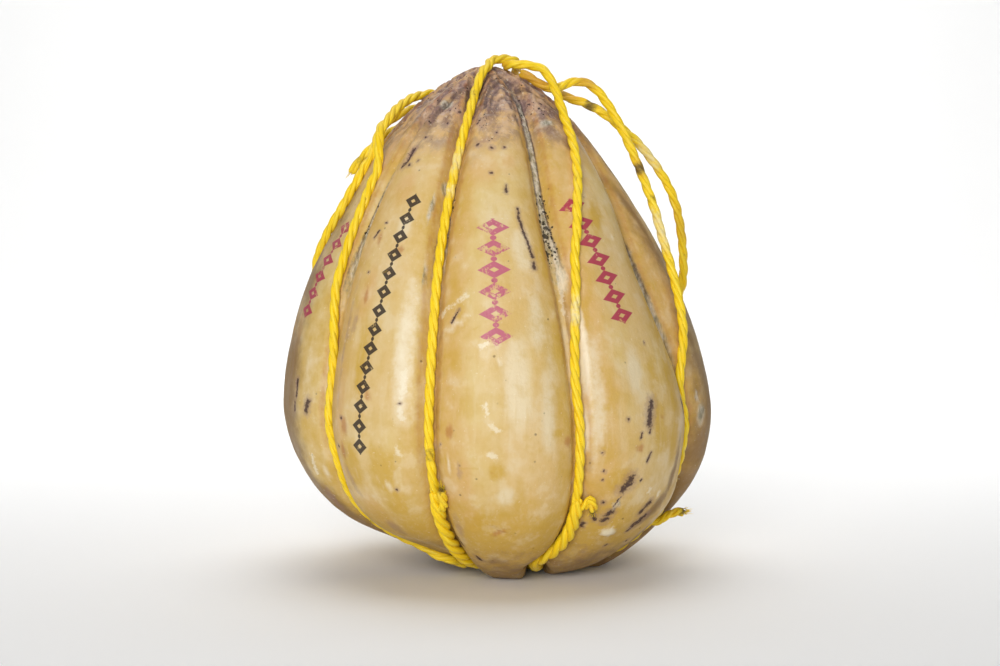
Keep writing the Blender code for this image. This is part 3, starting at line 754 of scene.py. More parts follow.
CRACK = ((12.8, 35.6), (12.5, 34), (13, 32.2), (14, 30.2), (14.6, 28.6), (15.2, 26.8))  # (turn, latitude)
MOULD_STREAKS = (  # the same, and half the width in mm
    (CRACK, 0.6), (((15.1, 26), (14.9, 25)), 0.8), (((9.6, 40.2), (9.2, 38.8)), 0.6),
    (((-10.6, 16.2), (-8.4, 18.2)), 0.45), (((-39.8, 30.2), (-38.4, 31.4)), 0.5),
    (((44.2, 2.4), (43.2, 0.4), (42.9, -1.8)), 1.6), (((43.2, -3.8), (43, -4.4)), 0.7),
    (((40.4, -4.4), (40, -5.8)), 0.5), (((44, -10.6), (42.9, -13.2)), 0.6),
    (((38.4, -18.2), (37.8, -20.2), (36.6, -21.8)), 1.9), (((36.6, -24.4), (35.6, -28.4)), 0.3),
    (((35.6, -30.4), (34.6, -32)), 1.3), (((34.9, -33.2), (34.2, -34.2)), 1.5),
    (((49.6, -27.4), (48.4, -29), (47.6, -31)), 1.3), (((51, -33.2), (50, -35), (48.4, -36.2)), 1.8),
    (((48.6, -37.4), (47.2, -39)), 0.9), (((30.6, -32.8), (31.4, -34.4)), 0.8),
    (((-65, 5), (-65.4, 2.4)), 0.8), (((-66, 1.2), (-66.4, -0.6)), 0.6), (((-60, 1.8), (-60.6, 0)), 1.2),
    (((-40.4, 63), (-41.4, 60.6), (-43, 57)), 1.9), (((-36, 49), (-36.4, 47), (-37.6, 44.8)), 1.1),
    (((60.4, 2), (61, 0)), 0.9), (((28.2, -36.6), (28, -38)), 0.9), (((19.4, -42.4), (18.8, -44)), 0.9),
    (((-18.4, -42), (-17.4, -44.4)), 0.8), (((-13.4, -48), (-12.6, -50)), 0.9),
)
MOULD_DOTS = (  # (turn, latitude, radius in mm)
    (-2, 50, 0.9), (5, 49, 0.8), (11, 49, 0.6), (4, 43, 0.6), (-17, 60, 0.7), (-22, 56, 0.6), (-34, 45, 0.8),
    (-30, 46, 0.6), (37, 66, 0.9), (30, 59, 0.7), (49, 62, 0.7), (-43, 0, 0.6), (-46, -9, 0.7), (-25, 3, 0.5),
    (-29, -21, 0.6), (-23, -36, 0.7), (-15, -7, 0.5), (32, -27, 0.8), (29, -10, 0.6), (30, -16, 0.6),
    (30, -19, 0.5), (36, 0, 0.7), (53, -45, 0.9), (42, -46, 0.8), (42, -19, 0.6), (-36, 33, 0.5),
    (-32, 52, 0.7), (-3, 56, 0.6), (8, 53, 0.5), (26, 60, 0.6), (41, 63, 0.8), (-39, 24, 0.5), (46, 12, 0.5),
)
# Small white streaks: painted glints on the front lobes, and flecks of wax round the flake at (38, -39).
WAX_AND_GLINT_STREAKS = (
    (((-1, -0.4), (0.6, -1.6)), 1.4), (((-2.4, 3), (-2, 1.6)), 1.1), (((-1.6, -8.6), (-0.6, -9.4)), 1.6),
    (((47, -22.6), (47, -23.4)), 1.5), (((52, -24.4), (52.2, -25.4)), 1.2), (((-24, 8), (-24.4, 4)), 1.5),
    (((-25, 2), (-24.6, 0.6)), 1.6), (((-26.4, -8), (-26, -10)), 1.3), (((-14, 17.6), (-6, 20.4)), 1.3),
    (((-62, -14), (-64, -20)), 1.2), (((-3, 12.2), (-1, 12.6)), 1.2), (((26, 30), (23.6, 18)), 1.2), (((36.6, -38.8), (38.8, -39.6)), 2.4),
    (((38.4, -37), (38.8, -38.6)), 1.4),
)
SCARS = (((-15, 13), (-4, 15)), ((-4, 15), (13, 20.6)), ((-33, 24), (-20, 27)), ((-10, -13.4), (-5, -13)))
STAMPS = (  # from and to (turn, latitude), how many units, half their width in mm, ink, how much is left
    ((3.4, 34), (1.4, 12), 6, 8, FADED_INK, 0.59),
    ((-26, 39), (-37.5, -11), 14, 4.3, BLACK_INK, 0.67),
    ((35, 38), (40.6, 15), 7, 7.6, RED_INK, 0.67),
    ((-64, 34), (-68, 15), 6, 7, RED_INK, 0.65),
)


def streak_group():
    """How far each place is from a line between two places, in half widths of the line."""
    tree, nodes, given, out = new_group("streak_distance", {
        "Place": "NodeSocketVector", "Start": "NodeSocketVector", "Run": "NodeSocketVector",
        "Half Width": "NodeSocketFloat"}, ("Distance", "NodeSocketFloat"))
    way = nodes.vector("SUBTRACT", given["Place"], given["Start"])
    along = nodes.value("DIVIDE", nodes.vector("DOT_PRODUCT", way, given["Run"], out="Value"),
                        nodes.vector("DOT_PRODUCT", given["Run"], given["Run"], out="Value"))
    along = nodes.value("MINIMUM", nodes.value("MAXIMUM", along, 0.0), 1.0)
    off = nodes.vector("SUBTRACT", way, nodes.vector("SCALE", given["Run"], scale=along))
    nodes.feed(out, nodes.value("DIVIDE", nodes.vector("LENGTH", off, out="Value"), given["Half Width"]))
    return tree


def stamp_group():
    """A stamped row of thick lozenges with a dot between each two. Along and Across are unit directions."""
    tree, nodes, given, out = new_group("stamped_row", {
        "Place": "NodeSocketVector", "Start": "NodeSocketVector", "Along": "NodeSocketVector",
        "Across": "NodeSocketVector", "Length": "NodeSocketFloat", "Pitch": "NodeSocketFloat",
        "Half Width": "NodeSocketFloat"}, ("Mask", "NodeSocketFloat"))
    way = nodes.vector("SUBTRACT", given["Place"], given["Start"])
    along = nodes.vector("DOT_PRODUCT", way, given["Along"], out="Value")
    across = nodes.vector("DOT_PRODUCT", way, given["Across"], out="Value")
    inwards = nodes.vector("CROSS_PRODUCT", given["Along"], given["Across"])
    depth = nodes.value("ABSOLUTE", nodes.vector("DOT_PRODUCT", way, inwards, out="Value"))
    turn = nodes.value("FRACT", nodes.value("DIVIDE", along, given["Pitch"]))
    step = nodes.value("ABSOLUTE", nodes.value("SUBTRACT", turn, 0.5))
    side = nodes.value("ABSOLUTE", nodes.value("DIVIDE", across, given["Half Width"]))
    lozenge = nodes.value("ADD", nodes.value("DIVIDE", step, 0.40), side)
    shape = nodes.value("MULTIPLY", nodes.step(lozenge, 1.06, 0.96), nodes.step(lozenge, 0.24, 0.34))
    from_end = nodes.value("SUBTRACT", 0.5, step)
    dot = nodes.value("ADD", nodes.value("POWER", nodes.value("DIVIDE", from_end, 0.11), 2.0),
                      nodes.value("POWER", nodes.value("DIVIDE", side, 0.2), 2.0))
    shape = nodes.value("MAXIMUM", shape, nodes.step(dot, 1.15, 0.85))
    inside = nodes.value("MULTIPLY", nodes.value("GREATER_THAN", along, 0.8 * MM),
                         nodes.value("LESS_THAN", along, nodes.value("SUBTRACT", given["Length"], 0.8 * MM)))
    inside = nodes.value("MULTIPLY", inside, nodes.value("LESS_THAN", depth, 0.035))
    nodes.feed(out, nodes.value("MULTIPLY", shape, inside))
    return tree


streak_distance = streak_group()
stamped_row = stamp_group()


def on_skin(turn, latitude):
    """The place on the skin as a Vector."""
    return Vector(surface(np.array([float(turn)]), np.array([float(latitude)]))[0])


def nearest_streak(nodes, where, streaks):
    """Distance from the nearest of the streaks, in its half widths."""
    nearest = 99.0
    for route, half_width in streaks:
        for start, end in zip(route, route[1:]):
            a = on_skin(*start)
            far = nodes.group(streak_distance, Place=where, Start=a, Run=on_skin(*end) - a,
                              Half_Width=half_width * MM)
            nearest = nodes.value("MINIMUM", nearest, far)
    return nearest


def rind_material():
    made = bpy.data.materials.new("rind")
    made.use_nodes = True
    nodes = Nodes(made.node_tree)
    shader = made.node_tree.nodes["Principled BSDF"]
    here = nodes.add("ShaderNodeTexCoord").outputs["Object"]
    clouds = nodes.noise(nodes.scaled(here, 1, 1, 0.45), 38 * MM, 4, 0.55)
    mottle = nodes.noise(here, 13 * MM, 5, 0.6)
    grain = nodes.noise(here, 2.2 * MM, 4, 0.6)
    drawn = nodes.noise(nodes.scaled(here, 1, 1, 0.14), 4 * MM, 4, 0.6)  # fine lines down the lobes

    def laid(name, size, softness):
        return nodes.group(ragged_patch, Place=here, Strength=nodes.attribute(name), Size=size * MM,
                           Softness=softness)

    def over(colour, mask, share, paint):
        return nodes.mix(nodes.value("MULTIPLY", mask, share), colour, paint)

    colour = nodes.mix(nodes.step(clouds, 0.32, 0.68), STRAW, nodes.mix(0.5, STRAW, TAN))
    # Paler cream, partly painted highlight on the lobes that face the front light.
    colour = over(colour, laid("cream_and_highlight", 22, 0.36), 0.85, CREAM_AND_HIGHLIGHT)
    colour = over(colour, laid("tan", 14, 0.34), 0.75, TAN)
    colour = over(colour, laid("ochre", 13, 0.34), 0.72, OCHRE)
    colour = over(colour, nodes.step(mottle, 0.46, 0.66), 0.32, OCHRE)
    colour = over(colour, nodes.step(mottle, 0.46, 0.34), 0.3, CREAM_AND_HIGHLIGHT)
    colour = over(colour, nodes.step(drawn, 0.50, 0.72), 0.18, OCHRE)
    colour = over(colour, nodes.step(drawn, 0.50, 0.28), 0.22, CREAM_AND_HIGHLIGHT)
    # Browned parts, with painted shade on the flanks and beside the grooves.
    brown_and_shade = laid("brown_and_shade", 10, 0.4)
    colour = over(colour, brown_and_shade, 0.78, BROWN_AND_SHADE)
    crown = nodes.attribute("crown")
    streaky = nodes.noise(nodes.scaled(here, 1, 1, 0.5), 7 * MM, 5, 0.65)
    colour = over(colour, crown, 0.72, nodes.mix(nodes.step(mottle, 0.4, 0.62), BLUSH, TAN))
    colour = over(colour, nodes.value("MULTIPLY", crown, nodes.step(streaky, 0.41, 0.60)), 0.86, CROWN_DARK)
    colour = over(colour, nodes.value("MULTIPLY", crown, nodes.step(grain, 0.52, 0.68)), 0.36, CROWN_PALE)
    colour = over(colour, laid("bloom", 5, 0.3), 0.5, MAUVE)
    # Rust spots, and the painted line of shade beside the twine.
    colour = over(colour, laid("rust_and_twine_shade", 4, 0.45), 0.62, RUST_AND_TWINE_SHADE)
    # Wax film and painted highlight strips.
    wax_and_highlight = laid("wax_and_highlight", 4, 0.5)
    fleck_place = nodes.vector("ADD", here, nodes.vector("SCALE", nodes.vector("SUBTRACT", nodes.noise(
        here, 2.4 * MM, 3, 0.6, out="Color"), (0.5, 0.5, 0.5)), scale=3.4 * MM))
    broken = nodes.value("MULTIPLY", nodes.value("SUBTRACT", nodes.noise(here, 2 * MM, 4, 0.7), 0.5), 4.0)
    # Painted glints, and a few flecks of wax.
    glints_and_wax_flecks = nodes.step(nodes.value("ADD", nearest_streak(nodes, fleck_place, WAX_AND_GLINT_STREAKS), broken), 1.5, 0.2)
    strewn = nodes.group(mould_specks, Place=fleck_place, Density=nodes.value("ADD", 0.24, nodes.value(
        "MULTIPLY", nodes.attribute("bloom"), 0.3)), Size=2.6 * MM)
    # Pale flecks, wax film, painted highlights and painted glints, all in the same white.
    colour = over(colour, strewn, 0.3, WAX_AND_GLINT_WHITE)
    colour = over(colour, wax_and_highlight, 0.68, WAX_AND_GLINT_WHITE)
    colour = over(colour, glints_and_wax_flecks, 0.6, WAX_AND_GLINT_WHITE)

    wear = nodes.noise(here, 1.5 * MM, 5, 0.7)
    patchy = nodes.noise(here, 8 * MM, 2, 0.5)
    holes = nodes.value("ADD", nodes.value("MULTIPLY", wear, 0.5), nodes.value("MULTIPLY", patchy, 0.5))
    for start, end, units, half_width, ink, left in STAMPS:
        a, b = on_skin(*start), on_skin(*end)
        along = (b - a).normalized()
        middle = (a + b) / 2
        across = along.cross(Vector((middle.x, middle.y, 0))).normalized()
        stamped = nodes.group(stamped_row, Place=here, Start=a, Along=along, Across=across,
                              Length=(b - a).length, Pitch=(b - a).length / units, Half_Width=half_width * MM)
        stamped = nodes.value("MULTIPLY", stamped, nodes.step(holes, left, left - 0.1))
        colour = over(colour, stamped, 0.92, ink)

    mould = laid("mould", 3.4, 0.42)
    lined = nodes.noise(nodes.scaled(here, 1, 1, 0.22), 2.2 * MM, 5, 0.65)
    colour = over(colour, mould, 0.85, nodes.mix(nodes.step(lined, 0.38, 0.6), MOULD_GREY, MOULD_WHITE))
    colour = over(colour, laid("stains_and_dark_creases", 2.2, 0.3), 0.7, STAIN)

    ragged_place = nodes.vector("ADD", here, nodes.vector("SCALE", nodes.vector("SUBTRACT", nodes.noise(
        here, 1.8 * MM, 4, 0.65, out="Color"), (0.5, 0.5, 0.5)), scale=2.2 * MM))
    near = nearest_streak(nodes, ragged_place, MOULD_STREAKS)
    for turn, latitude, radius in MOULD_DOTS:
        far = nodes.vector("DISTANCE", ragged_place, on_skin(turn, latitude), out="Value")
        near = nodes.value("MINIMUM", near, nodes.value("DIVIDE", far, radius * MM))
    near = nodes.value("ADD", near, broken)
    colour = over(colour, nodes.step(near, 3.6, 1.3), 0.42, MAUVE)
    streaks = nodes.step(near, 1.5, 0.4)
    colour = over(colour, streaks, 0.9, STAIN)
    scars = nodes.step(nearest_streak(nodes, ragged_place, [(scar, 0.6) for scar in SCARS]), 1.3, 0.5)
    colour = over(colour, scars, 0.25, OCHRE)

    soot = nodes.attribute("soot")
    specks = nodes.value("MAXIMUM", nodes.group(mould_specks, Place=here, Density=soot, Size=1.4 * MM),
                         nodes.group(mould_specks, Place=here, Density=soot, Size=3.0 * MM))
    strays = nodes.group(mould_specks, Place=here, Density=0.13, Size=9 * MM)
    specks = nodes.value("MAXIMUM", specks, nodes.value("MULTIPLY", strays, 0.6))
    colour = over(colour, specks, 0.88, SOOT_BLACK)
    nodes.feed(shader.inputs["Base Color"], colour)

    rough = nodes.step(mottle, 0.3, 0.7, 0.36, 0.5)
    rough = nodes.value("SUBTRACT", rough, nodes.value("MULTIPLY", nodes.value("MAXIMUM", wax_and_highlight, glints_and_wax_flecks), 0.12))
    dry = nodes.value("MAXIMUM", mould, nodes.value("MAXIMUM", specks, streaks))
    rough = nodes.value("ADD", rough, nodes.value("MULTIPLY", dry, 0.4))
    rough = nodes.value("ADD", rough, nodes.value("MULTIPLY", brown_and_shade, 0.14))
    nodes.feed(shader.inputs["Roughness"], rough)

    height = nodes.noise(here, 6 * MM, 4, 0.55)
    height = nodes.value("ADD", height, nodes.value("MULTIPLY", grain, 0.25))
    height = nodes.value("ADD", height, nodes.value("MULTIPLY", drawn, 0.5))
    crusty = nodes.value("MULTIPLY", mould, lined)
    height = nodes.value("ADD", height, nodes.value("MULTIPLY", crusty, 1.6))
    height = nodes.value("SUBTRACT", height, nodes.value("MULTIPLY", streaks, 0.8))
    height = nodes.value("ADD", height, nodes.value("MULTIPLY", specks, 0.5))
    bump = nodes.add("ShaderNodeBump")
    bump.inputs["Strength"].default_value = 0.7
    bump.inputs["Distance"].default_value = 0.6 * MM
    nodes.feed(bump.inputs["Height"], height)
    nodes.feed(shader.inputs["Normal"], bump.outputs[0])
    shader.inputs["IOR"].default_value = 1.45
    shader.inputs["Specular IOR Level"].default_value = 0.27
    return made


rind = rind_material()
cheese.data.materials.append(rind)


# ---- The strands ------------------------------------------------------------------------------
# Yellow split-film twine, 5 mm thick: three plies of fine film laid to the left. Eight strands run
# from the knot behind the crown, over the shoulders and down the grooves, bitten into the rind.

STRAND_RADIUS = 2.5 * MM
PLY_RADIUS = 1.45 * MM
PLY_ORBIT = 1.05 * MM
LAY_LENGTH = 26 * MM  # of the cord, for one turn of a ply round it
TWINE_SPACING = 1.5 * MM
PLY_SIDES = 9
BITE = -0.35 * MM  # how far clear of the rind: pressed into it
MM_PER_DEGREE = 1.75
DEGREES_PER_STATION = 8
RUNS_IN_AT = -82.5
GATHER_RADIUS = 8 * MM
ROUTE_STEPS = 24
FLOOR_GAP = 0.3 * MM

TWINE_YELLOW = (0.92, 0.62, 0.006)
TWINE_LIGHT = (0.96, 0.75, 0.06)
TWINE_DEEP = (0.78, 0.45, 0.001)
TWINE_AGED = (0.56, 0.27, 0.03)
TWINE_SOIL = (0.085, 0.055, 0.03)
TWINE_CHALK = (0.80, 0.76, 0.58)


def resting(turn, latitude, radius, gap=BITE):
    """The centres of a cord of this radius where it rests on the rind."""
    turn, latitude = np.atleast_1d(np.array(turn, float)), np.atleast_1d(np.array(latitude, float))
    clear = radius + gap
    girth = np.maximum(crest_outline(latitude)[0], 8 * MM)
    out = np.full(len(turn), -1.0)
    for step in range(-4, 5):
        aside = clear * step / 4
        height = relief(turn + np.degrees(aside / girth), latitude, fine=False)
        out = np.maximum(out, height + math.sqrt(max(clear * clear - aside * aside, 0)))
    points = place(turn, latitude, out)
    points[:, 2] = np.maximum(points[:, 2], radius + FLOOR_GAP)
    return points


def smooth_route(stations, spacing=TWINE_SPACING):
    """Evenly spaced points on the smooth curve through the stations."""
    stations = np.array([tuple(station) for station in stations], float)
    ends = np.vstack([2 * stations[0] - stations[1], stations, 2 * stations[-1] - stations[-2]])
    a, b, c, d = ends[:-3, None], ends[1:-2, None], ends[2:-1, None], ends[3:, None]
    t = (np.arange(ROUTE_STEPS) / ROUTE_STEPS)[None, :, None]
    fine = 0.5 * (2 * b + (c - a) * t + (2 * a - 5 * b + 4 * c - d) * t**2 + (3 * b - a - 3 * c + d) * t**3)
    fine = np.vstack([fine.reshape(-1, 3), stations[-1]])
    along = np.concatenate([[0], np.cumsum(np.linalg.norm(np.diff(fine, axis=0), axis=1))])
    wanted = np.linspace(0, along[-1], max(round(along[-1] / spacing), 2) + 1)
    return np.stack([np.interp(wanted, along, fine[:, axis]) for axis in range(3)], -1)


def eased(route, rounds, below):
    """The route with its bends eased under a height, as stiff twine takes them."""
    free = (route[1:-1, 2:] < below) * 0.25
    for _ in range(rounds):
        route[1:-1] += free * (route[:-2] + route[2:] - 2 * route[1:-1])
    return route


def sides_of(path):
    """Two directions square to a path at each of its points, carried along it without twisting."""
    tangents = np.gradient(path, axis=0)
    tangents /= np.linalg.norm(tangents, axis=1)[:, None]
    start = np.cross(tangents[0], (0.3, 0.5, 0.81))
    normals = [start / np.linalg.norm(start)]
    for tangent in tangents[1:]:
        carried = normals[-1] - tangent * (normals[-1] @ tangent)
        normals.append(carried / np.linalg.norm(carried))
    normals = np.array(normals)
    return normals, np.cross(tangents, normals)


def distance_along(path):
    return np.concatenate([[0], np.cumsum(np.linalg.norm(np.diff(path, axis=0), axis=1))])


def coiled(path, orbit, lay_length, start_angle):
    """A path that circles another one once every lay length, to the left."""
    first, second = sides_of(path)
    angle = (start_angle - math.tau * distance_along(path) / lay_length)[:, None]
    orbit = np.broadcast_to(orbit, len(path))[:, None]
    return path + orbit * (np.cos(angle) * first + np.sin(angle) * second)


class Cordage:
    """One mesh of swept plies, with how far along and round each ply a point lies as its UV map."""

    def __init__(self, name):
        self.name = name
        self.bm = bmesh.new()
        self.uv = self.bm.loops.layers.uv.new("ply")
        self.plies = 0
        self.ends = []

    def sweep(self, path, radius, sides=PLY_SIDES, marks=None):
        """A rounded tube along a path; its radius is one number or one for each point."""
        count = len(path)
        radius = np.array(np.broadcast_to(radius, count), float)
        radius[0] = radius[-1] = 0
        first, second = sides_of(path)
        angle = np.linspace(0, math.tau, sides + 1)[None, :, None]
        rings = path[:, None] + radius[:, None, None] * (
            np.cos(angle) * first[:, None] + np.sin(angle) * second[:, None])
        along = distance_along(path)
        made = bmesh.ops.create_grid(self.bm, x_segments=count - 1, y_segments=sides, size=1)["verts"]
        seat = {}
        for vertex in made:
            i = round((vertex.co.x + 1) / 2 * (count - 1))
            j = round((vertex.co.y + 1) / 2 * sides)
            seat[vertex] = (i, j)
            vertex.co = rings[i, j]
        self.ply_uvs(seat, along, sides)
        self.plies += 1

    def ply_uvs(self, seat, along, sides):
        shift = 0.137 * self.plies
        for face in {face for vertex in seat for face in vertex.link_faces}:
            for loop in face.loops:
                i, j = seat[loop.vert]
                loop[self.uv].uv = (along[i] + shift, j / sides)

    def lay(self, path, radius=PLY_RADIUS, orbit=PLY_ORBIT, plies=3, lay_length=LAY_LENGTH, angle=0.0):
        """Lays plies round a path."""
        for ply in range(plies):
            turned = angle + math.tau * ply / plies
            self.sweep(coiled(path, orbit, lay_length, turned), radius)

    def fray(self, tip, direction, count, length, spread, thickness=0.16 * MM):
        """Loose fibres of split film at a cut end."""
        direction = Vector(direction).normalized()
        for _ in range(count):
            aim = direction + Vector([random.uniform(-spread, spread) for _ in range(3)])
            droop = Vector([random.uniform(-0.5, 0.5) for _ in range(3)]) * spread
            reach = length * random.uniform(0.45, 1.0)
            root = Vector(tip) + Vector([random.uniform(-1, 1) for _ in range(3)]) * PLY_RADIUS * 0.9
            path = np.array([root + aim.normalized() * reach * t + droop * reach * t * t
                             for t in (-0.3, 0.0, 0.25, 0.5, 0.75, 1.0)])
            taper = np.array((1, 1, 0.9, 0.75, 0.5, 0.2)) * thickness * random.uniform(0.7, 1.6)
            self.sweep(path, taper, sides=4)

    def finish(self, soil=(), aged=(), chalk=(), route=None):
        """Closes the plies and makes the object; marks are (share of the route, half length, strength)."""
        bmesh.ops.remove_doubles(self.bm, verts=self.bm.verts, dist=2e-6)
        bmesh.ops.recalc_face_normals(self.bm, faces=self.bm.faces)
        mesh = bpy.data.meshes.new(self.name)
        self.bm.to_mesh(mesh)
        self.bm.free()
        mesh.shade_smooth()
        for title, marks in (("soil", soil), ("aged", aged), ("chalk", chalk)):
            strength = np.zeros(len(mesh.vertices))
            if marks:
                points = np.zeros(len(mesh.vertices) * 3)
                mesh.vertices.foreach_get("co", points)
                points = points.reshape(-1, 3)
                for share, half_length, amount in marks:
                    middle = route[round(share * (len(route) - 1))]
                    far = np.linalg.norm(points - middle, axis=1) / (half_length * MM)
                    strength = np.maximum(strength, amount * (1 - smooth_between(0.2, 1, far)))
            attribute = mesh.attributes.new(title, "FLOAT", "POINT")
            attribute.data.foreach_set("value", strength.astype(np.float32))
        mesh.materials.append(twine)
        made = link(bpy.data.objects.new(self.name, mesh))
        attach(made, "root")
        return made


def twine_material():
    made = bpy.data.materials.new("twine")
    made.use_nodes = True
    nodes = Nodes(made.node_tree)
    shader = made.node_tree.nodes["Principled BSDF"]
    coordinates = nodes.add("ShaderNodeTexCoord")
    here = coordinates.outputs["Object"]
    film = nodes.add("ShaderNodeMapping")
    film.inputs["Rotation"].default_value = (0, 0, 0.012)
    film.inputs["Scale"].default_value = (14, 9, 1)  # the film's splits run along the ply
    nodes.feed(film.inputs["Vector"], nodes.add("ShaderNodeUVMap", uv_map="ply").outputs[0])
    splits = nodes.noise(film.outputs[0], 1.0, 3, 0.65, 0.2)
    finer = nodes.add("ShaderNodeMapping")
    finer.inputs["Scale"].default_value = (60, 26, 1)
    nodes.feed(finer.inputs["Vector"], nodes.add("ShaderNodeUVMap", uv_map="ply").outputs[0])
    threads = nodes.noise(finer.outputs[0], 1.0, 2, 0.6)
    blotches = nodes.noise(here, 22 * MM, 3, 0.6)
    colour = nodes.mix(nodes.step(splits, 0.38, 0.68), TWINE_YELLOW, TWINE_LIGHT)
    colour = nodes.mix(nodes.step(threads, 0.5, 0.75, 0.0, 0.55), colour, TWINE_DEEP)
    colour = nodes.mix(nodes.step(blotches, 0.5, 0.8, 0.0, 0.35), colour, TWINE_DEEP)

    def laid(name, size, softness):
        return nodes.group(ragged_patch, Place=here, Strength=nodes.attribute(name), Size=size * MM,
                           Softness=softness)

    colour = nodes.mix(nodes.value("MULTIPLY", laid("aged", 5, 0.6), 0.85), colour, TWINE_AGED)
    chalk = laid("chalk", 2.4, 0.45)
    colour = nodes.mix(nodes.value("MULTIPLY", chalk, 0.8), colour, TWINE_CHALK)
    soil = laid("soil", 1.8, 0.35)
    colour = nodes.mix(nodes.value("MULTIPLY", soil, 0.85), colour, TWINE_SOIL)
    specks = nodes.group(mould_specks, Place=here, Density=0.10, Size=2.6 * MM)
    colour = nodes.mix(nodes.value("MULTIPLY", specks, 0.8), colour, TWINE_SOIL)
    nodes.feed(shader.inputs["Base Color"], colour)
    rough = nodes.step(threads, 0.3, 0.7, 0.30, 0.48)
    rough = nodes.value("ADD", rough, nodes.value("MULTIPLY", nodes.value("MAXIMUM", soil, chalk), 0.35))
    nodes.feed(shader.inputs["Roughness"], rough)
    height = nodes.value("ADD", nodes.value("MULTIPLY", splits, 1.0), nodes.value("MULTIPLY", threads, 0.5))
    bump = nodes.add("ShaderNodeBump")
    bump.inputs["Strength"].default_value = 0.8
    bump.inputs["Distance"].default_value = 0.35 * MM
    nodes.feed(bump.inputs["Height"], height)
    nodes.feed(shader.inputs["Normal"], bump.outputs[0])
    shader.inputs["Specular IOR Level"].default_value = 0.3
    return made


def in_groove(groove, top, bottom, radius, gap=BITE):
    """Stations down a groove from one latitude to another."""
    steps = round((top - bottom) / DEGREES_PER_STATION)
    latitude = np.linspace(top, bottom, steps + 1)
    return list(resting(groove_turn(groove, latitude), latitude, radius, gap))


def with_middles(places):
    """The places, and one halfway between each two."""
    places = np.array(places, float)
    found = np.empty((2 * len(places) - 1, 2))
    found[::2] = places
    found[1::2] = (places[:-1] + places[1:]) / 2
    return found


def over_surface(*places):
    """Stations where a strand lies on the rind."""
    found = with_middles(places)
    return list(resting(found[:, 0], found[:, 1], STRAND_RADIUS))


def over_crests(*places):
    """Stations where a taut strand bridges the grooves from lobe to lobe."""
    found = with_middles(places)
    return list(place(found[:, 0], found[:, 1], STRAND_RADIUS + 0.7 * MM))


def in_space(*points_mm):
    return [np.array(point) * MM for point in points_mm]


gather = place(np.array([176.0]), np.array([60.0]), GATHER_RADIUS + 2 * MM)[0]


def from_gather(*offsets_mm):
    """Stations near the gathering knot, from inside it outwards."""
    return [gather + np.array(offset) * MM for offset in offsets_mm]


CROWN_STATIONS = {
    1: from_gather((4, -2, 2), (9, -7, 6))
    + in_space((9.5, 20, 260), (9.5, 6.5, 264), (3, 0.5, 265.4), (-3.4, -7.5, 264),
               (-5.2, -13.5, 261), (-8.2, -20.5, 257.2))
    + over_surface((-10, 67)),
    2: in_space((2.5, 0.5, 261.4), (8.5, -4.5, 262.4), (15.8, -5, 261.8), (23.6, -11.5, 258.8), (29, -17.5, 249.2))
    + over_surface((56, 55), (44, 44), (36, 36), (29.5, 27), (26, 18)),
    3: from_gather((-4, -2, 1), (-8, -8, 5))
    + over_crests((-150, 65), (-128, 65), (-106, 63.5), (-88, 60), (-75, 56), (-66, 51.5))
    + over_surface((-59, 45), (-56, 38), (-55, 30), (-54.5, 20)),
    4: from_gather((-6, 0, 0), (-12.6, 0, 1.5))
    + over_crests((-154, 60), (-132, 60.5), (-112, 58), (-98, 53.5))
    + over_surface((-87, 48), (-79, 42), (-79, 36), (-86, 29), (-92, 22)),
    5: in_space((11, -8, 258.4), (17, -10, 255), (24, -11, 250.8), (30.5, -8.5, 250.2), (35.5, -4.5, 252.4),
                (42, -2, 253.6), (49, -3, 250.8), (56.5, -6, 241.8), (67, -12, 221.8),
                (78.5, -20, 192.6), (83.6, -25, 174.2), (88.6, -30.4, 156), (92.4, -35.8, 138),
                (93.6, -38, 123)),
    6: from_gather((6, 0, 0), (12.6, 1, 1))
    + in_space((17, 27, 249.5), (23, 14, 251.6), (29, 6.5, 249.4), (36, 4.5, 245.6), (45, 3.5, 242.6),
               (55.5, 4, 237), (64, 6, 230), (74, 7, 221), (84.6, 10, 207.4), (91.6, 12, 194.6),
               (96.4, 15, 178), (98.4, 21, 160), (98, 28.4, 139.5)),
    7: from_gather((2, 2, -2), (5, 7, -8)) + over_surface((168, 50), (164, 42)),
    8: from_gather((-3, 2, -2), (-6, 7, -8)) + over_surface((-162, 50), (-150, 42)),
}
STRAND_GROOVES = {1: 2, 2: 3, 3: 1, 4: 0, 5: 4, 6: 5, 7: 6, 8: 7}
SETTLES_AT = {1: 64, 2: 8, 3: 8, 4: 14, 5: 4, 6: 15, 7: 34, 8: 34}  # latitude in its groove
DOUBLED_FROM = {1: -24, 2: -27, 5: -33, 7: -27}
EASED_ROUNDS = {6: 60}
EASED_BELOW = 185 * MM
LEAVES_GROOVE_AT = {3: -44}
BENEATH = {3: over_surface((-59, -51), (-53, -56.5), (-46, -60.5), (-50, -66), (-65, -70), (-78, -74.5),
                         (-80, -82))}
STRAND_SOIL = {
    1: ((0.30, 5, 0.5), (0.52, 4, 0.4), (0.9, 7, 0.5)),
    2: ((0.36, 4, 0.5), (0.33, 3, 0.6)),
    3: ((0.33, 3, 0.9), (0.7, 4, 0.6), (0.77, 5, 0.6)),
    5: ((0.33, 6, 0.9), (0.39, 4, 0.7)),
    6: ((0.20, 6, 0.95), (0.33, 3, 0.7), (0.45, 4, 0.5)),
    8: ((0.5, 5, 0.6),),
}
STRAND_AGED = {5: ((0.03, 16, 1.0), (0.14, 10, 0.7), (0.33, 10, 0.6)), 6: ((0.16, 18, 0.6), (0.4, 20, 0.4)), 2: ((0.0, 9, 0.7),)}
STRAND_CHALK = {1: ((0.44, 14, 0.45), (0.49, 8, 0.4)), 6: ((0.12, 24, 0.8), (0.3, 16, 0.5)), 2: ((0.62, 14, 0.5),),
                5: ((0.45, 20, 0.5),)}

